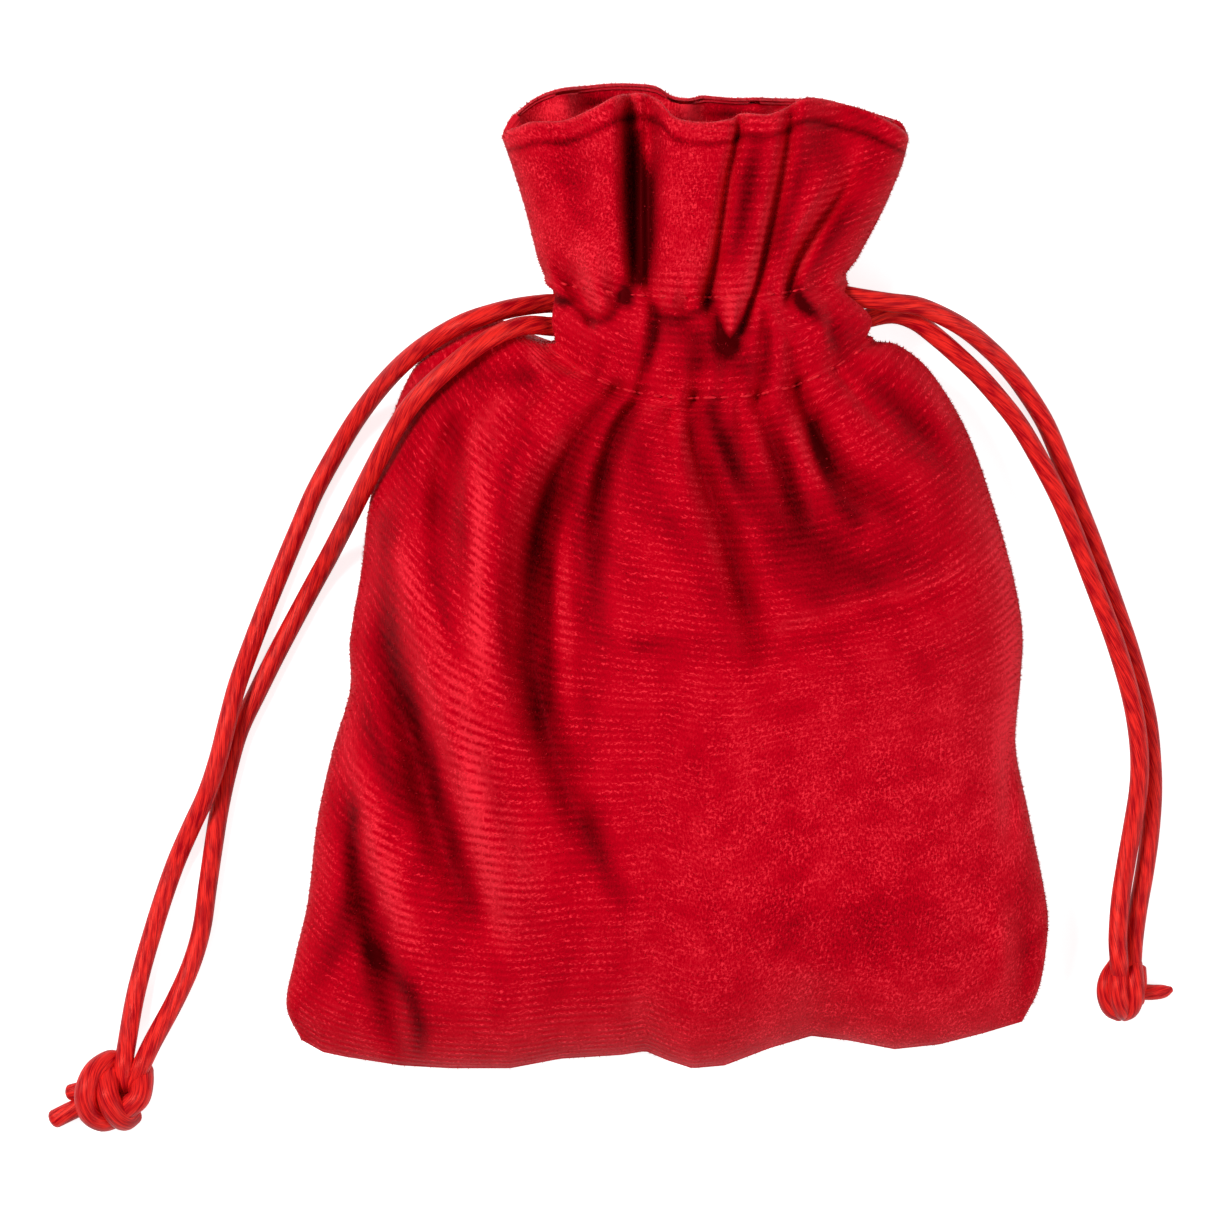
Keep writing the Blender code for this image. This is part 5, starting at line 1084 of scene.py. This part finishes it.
def newShapeTree(name, inputs):
    tree = bpy.data.node_groups.new(name, "GeometryNodeTree")
    tree.interface.new_socket(name="Geometry", in_out="INPUT", socket_type="NodeSocketGeometry")
    tree.interface.new_socket(name="Geometry", in_out="OUTPUT", socket_type="NodeSocketGeometry")
    for label, kind in inputs:
        tree.interface.new_socket(name=label, in_out="INPUT", socket_type=kind)
    return tree, tree.nodes.new("NodeGroupInput").outputs, tree.nodes.new("NodeGroupOutput")


def finishShape(tree, instances, material, finish):
    real = addNode(tree, "GeometryNodeRealizeInstances", {"Geometry": instances})
    smooth = addNode(tree, "GeometryNodeSetShadeSmooth", {"Geometry": real.outputs[0]})
    painted = addNode(tree, "GeometryNodeSetMaterial", {"Geometry": smooth.outputs[0], "Material": material})
    tree.links.new(painted.outputs[0], finish.inputs[0])


def grow(name, data, tree, values):
    # The tree's result on a mesh, as a plain mesh of its own
    carrier = bpy.data.objects.new(name, data)
    bpy.context.scene.collection.objects.link(carrier)
    modifier = carrier.modifiers.new("shape", "NODES")
    modifier.node_group = tree
    for item in tree.interface.items_tree:
        if item.in_out == "INPUT" and item.name in values:
            modifier[item.identifier] = values[item.name]
    evaluated = carrier.evaluated_get(bpy.context.evaluated_depsgraph_get())
    grown = bpy.data.meshes.new_from_object(evaluated)
    carrier.modifiers.clear()
    bpy.data.objects.remove(carrier)
    return grown


def fringeTree():
    tree, entry, finish = newShapeTree("looseFringe", (
        ("Density", "NodeSocketFloat"), ("Length", "NodeSocketFloat"), ("Thickness", "NodeSocketFloat"),
        ("Lean", "NodeSocketFloat"), ("Seed", "NodeSocketInt"), ("Material", "NodeSocketMaterial")))
    share = addNode(tree, "GeometryNodeInputNamedAttribute", {"Name": "fringe"}, data_type="FLOAT")
    density = maths(tree, "MULTIPLY", share.outputs[0], entry["Density"])
    points = addNode(tree, "GeometryNodeDistributePointsOnFaces",
                     {"Mesh": entry["Geometry"], "Density": density, "Seed": entry["Seed"]})
    lowLean = maths(tree, "MULTIPLY", entry["Lean"], -1.0)
    low = addNode(tree, "ShaderNodeCombineXYZ", {0: lowLean, 1: lowLean, 2: -math.pi})
    high = addNode(tree, "ShaderNodeCombineXYZ", {0: entry["Lean"], 1: entry["Lean"], 2: math.pi})
    chance = addNode(tree, "FunctionNodeRandomValue", {0: low.outputs[0], 1: high.outputs[0], "Seed": entry["Seed"]},
                     data_type="FLOAT_VECTOR")
    tilt = addNode(tree, "FunctionNodeEulerToRotation", {0: chance.outputs[0]})
    turned = addNode(tree, "FunctionNodeRotateRotation", {0: points.outputs["Rotation"], 1: tilt.outputs[0]},
                     rotation_space="LOCAL")
    fibre = addNode(tree, "GeometryNodeMeshCone", {"Vertices": 3, "Radius Top": 0.0, "Depth": entry["Length"],
                                                   "Radius Bottom": maths(tree, "MULTIPLY", entry["Thickness"], 0.5)})
    grown = addNode(tree, "FunctionNodeRandomValue", {2: 0.5, 3: 1.1, "Seed": entry["Seed"]}, data_type="FLOAT")
    placed = addNode(tree, "GeometryNodeInstanceOnPoints",
                     {"Points": points.outputs[0], "Instance": fibre.outputs[0], "Rotation": turned.outputs[0],
                      "Scale": grown.outputs[1]})
    finishShape(tree, placed.outputs[0], entry["Material"], finish)
    return tree


def stitchTree():
    tree, entry, finish = newShapeTree("stitchRow", (
        ("Spacing", "NodeSocketFloat"), ("Stitch length", "NodeSocketFloat"), ("Thread", "NodeSocketFloat"),
        ("Material", "NodeSocketMaterial")))
    line = addNode(tree, "GeometryNodeMeshToCurve", {"Mesh": entry["Geometry"]})
    even = addNode(tree, "GeometryNodeResampleCurve", {"Curve": line.outputs[0], "Length": entry["Spacing"]},
                   mode="LENGTH")
    tangent = addNode(tree, "GeometryNodeInputTangent")
    turned = addNode(tree, "FunctionNodeAlignRotationToVector", {"Vector": tangent.outputs[0]}, axis="X")
    halfThread = maths(tree, "MULTIPLY", entry["Thread"], 0.5)
    size = addNode(tree, "ShaderNodeCombineXYZ", {0: maths(tree, "MULTIPLY", entry["Stitch length"], 0.5),
                                                  1: halfThread, 2: halfThread})
    thread = addNode(tree, "GeometryNodeMeshUVSphere", {"Segments": 8, "Rings": 6, "Radius": 1.0})
    placed = addNode(tree, "GeometryNodeInstanceOnPoints",
                     {"Points": even.outputs[0], "Instance": thread.outputs[0], "Rotation": turned.outputs[0],
                      "Scale": size.outputs[0]})
    finishShape(tree, placed.outputs[0], entry["Material"], finish)
    return tree


def tuftMaterial(name, dark, bright, roughness):
    # Short loose fibres or thread: colour varies from one to the next
    material, tree, shader = newMaterial(name)
    place = addNode(tree, "ShaderNodeTexCoord")
    spread = addNode(tree, "ShaderNodeTexNoise", {"Vector": place.outputs["Object"], "Scale": 1.0 / (0.5 * mm),
                                                  "Detail": 2.0})
    colour = mixColour(tree, maths(tree, "MULTIPLY_ADD", spread.outputs[0], 2.4, -0.7, clamp=True), dark, bright)
    tree.links.new(colour, shader.inputs["Base Color"])
    shader.inputs["Roughness"].default_value = roughness
    shader.inputs["Specular IOR Level"].default_value = 0.3
    shader.inputs["Specular Tint"].default_value = velvetLook["sheenTint"]
    return material


looseFringe = fringeTree()
stitchRow = stitchTree()
tufts = tuftMaterial("pileTips", (0.40, 0.0, 0.006, 1.0), (0.90, 0.03, 0.045, 1.0), 0.7)
thread = tuftMaterial("redThread", (0.46, 0.0, 0.010, 1.0), (0.92, 0.03, 0.045, 1.0), 0.45)
stitchLook = {"spacing": 2.1 * mm, "length": 1.6 * mm, "thread": 0.34 * mm, "sunkLow": 0.10 * mm, "sunkHigh": 0.17 * mm}
for panel, node, side in ((frontPanel, "front_panel", 1), (backPanel, "back_panel", -1)):
    fringe = grow("fringeCarrier", panel.data.copy(), looseFringe, {
        "Density": fringeLook["density"], "Length": fringeLook["length"], "Thickness": fringeLook["thickness"],
        "Lean": fringeLook["lean"], "Seed": fringeLook["seed"], "Material": tufts})
    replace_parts(addPiece(panel.name + "Fringe", fringe, tufts), node)
    lines, edges = [], []
    for station, sunk in ((bag["stitchLow"], stitchLook["sunkLow"]), (bag["stitchHigh"], stitchLook["sunkHigh"])):
        row = clothPoints(side, np.linspace(-0.9, 0.9, 240), station, sunk, fine=1.0)
        edges += [(len(lines) + k, len(lines) + k + 1) for k in range(len(row) - 1)]
        lines += [tuple(p) for p in row]
    rowData = bpy.data.meshes.new("stitchLines")
    rowData.from_pydata(lines, edges, [])
    stitches = grow("stitchCarrier", rowData, stitchRow, {
        "Spacing": stitchLook["spacing"], "Stitch length": stitchLook["length"], "Thread": stitchLook["thread"],
        "Material": thread})
    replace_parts(addPiece(panel.name + "Stitches", stitches, thread), node)
    print(panel.name, "fringe faces", len(fringe.polygons), "stitch faces", len(stitches.polygons))

# Floor, lights and background
studio = {
    "floorSize": 4.0,
    "floorGlow": 0.80,
    "floorColour": (0.8, 0.8, 0.8, 1.0),
    "worldLight": 0.25,
    "lights": (
        ("keyLight", (-0.50, 0.25, 0.80), 0.35, 7.0),
        ("fillLight", (0.70, -0.30, 0.55), 0.60, 3.2),
    ),
}
floorMaterial, floorTree, floorShader = newMaterial("paperWhite")
floorShader.inputs["Base Color"].default_value = studio["floorColour"]
floorShader.inputs["Roughness"].default_value = 1.0
floorShader.inputs["Specular IOR Level"].default_value = 0.0
rays = addNode(floorTree, "ShaderNodeLightPath")
floorShader.inputs["Emission Color"].default_value = (1.0, 1.0, 1.0, 1.0)
floorTree.links.new(maths(floorTree, "MULTIPLY", rays.outputs["Is Camera Ray"], studio["floorGlow"]),
                    floorShader.inputs["Emission Strength"])
half = studio["floorSize"] / 2
floorDrop = -0.05 * mm
floorData = buildMesh("floor", [(-half, -half, floorDrop), (half, -half, floorDrop),
                                (half, half, floorDrop), (-half, half, floorDrop)], [(0, 1, 2, 3)])
floor = bpy.data.objects.new("floor", floorData)
floor.data.materials.append(floorMaterial)
bpy.context.scene.collection.objects.link(floor)

for name, place, size, power in studio["lights"]:
    lightData = bpy.data.lights.new(name, "AREA")
    lightData.shape = "DISK"
    lightData.size = size
    lightData.energy = power
    light = bpy.data.objects.new(name, lightData)
    light.location = place
    light.rotation_euler = (-Vector(place)).to_track_quat("-Z", "Y").to_euler()
    bpy.context.scene.collection.objects.link(light)

world = bpy.data.worlds.new("studio")
bpy.context.scene.world = world
world.use_nodes = True
background = world.node_tree.nodes["Background"]
background.inputs["Color"].default_value = (1.0, 1.0, 1.0, 1.0)
worldRays = addNode(world.node_tree, "ShaderNodeLightPath")
cameraOnly = maths(world.node_tree, "MULTIPLY_ADD", worldRays.outputs["Is Camera Ray"],
                   1.0 - studio["worldLight"], studio["worldLight"])
world.node_tree.links.new(cameraOnly, background.inputs["Strength"])
bpy.context.scene.view_settings.view_transform = "Standard"
print("studio lit")
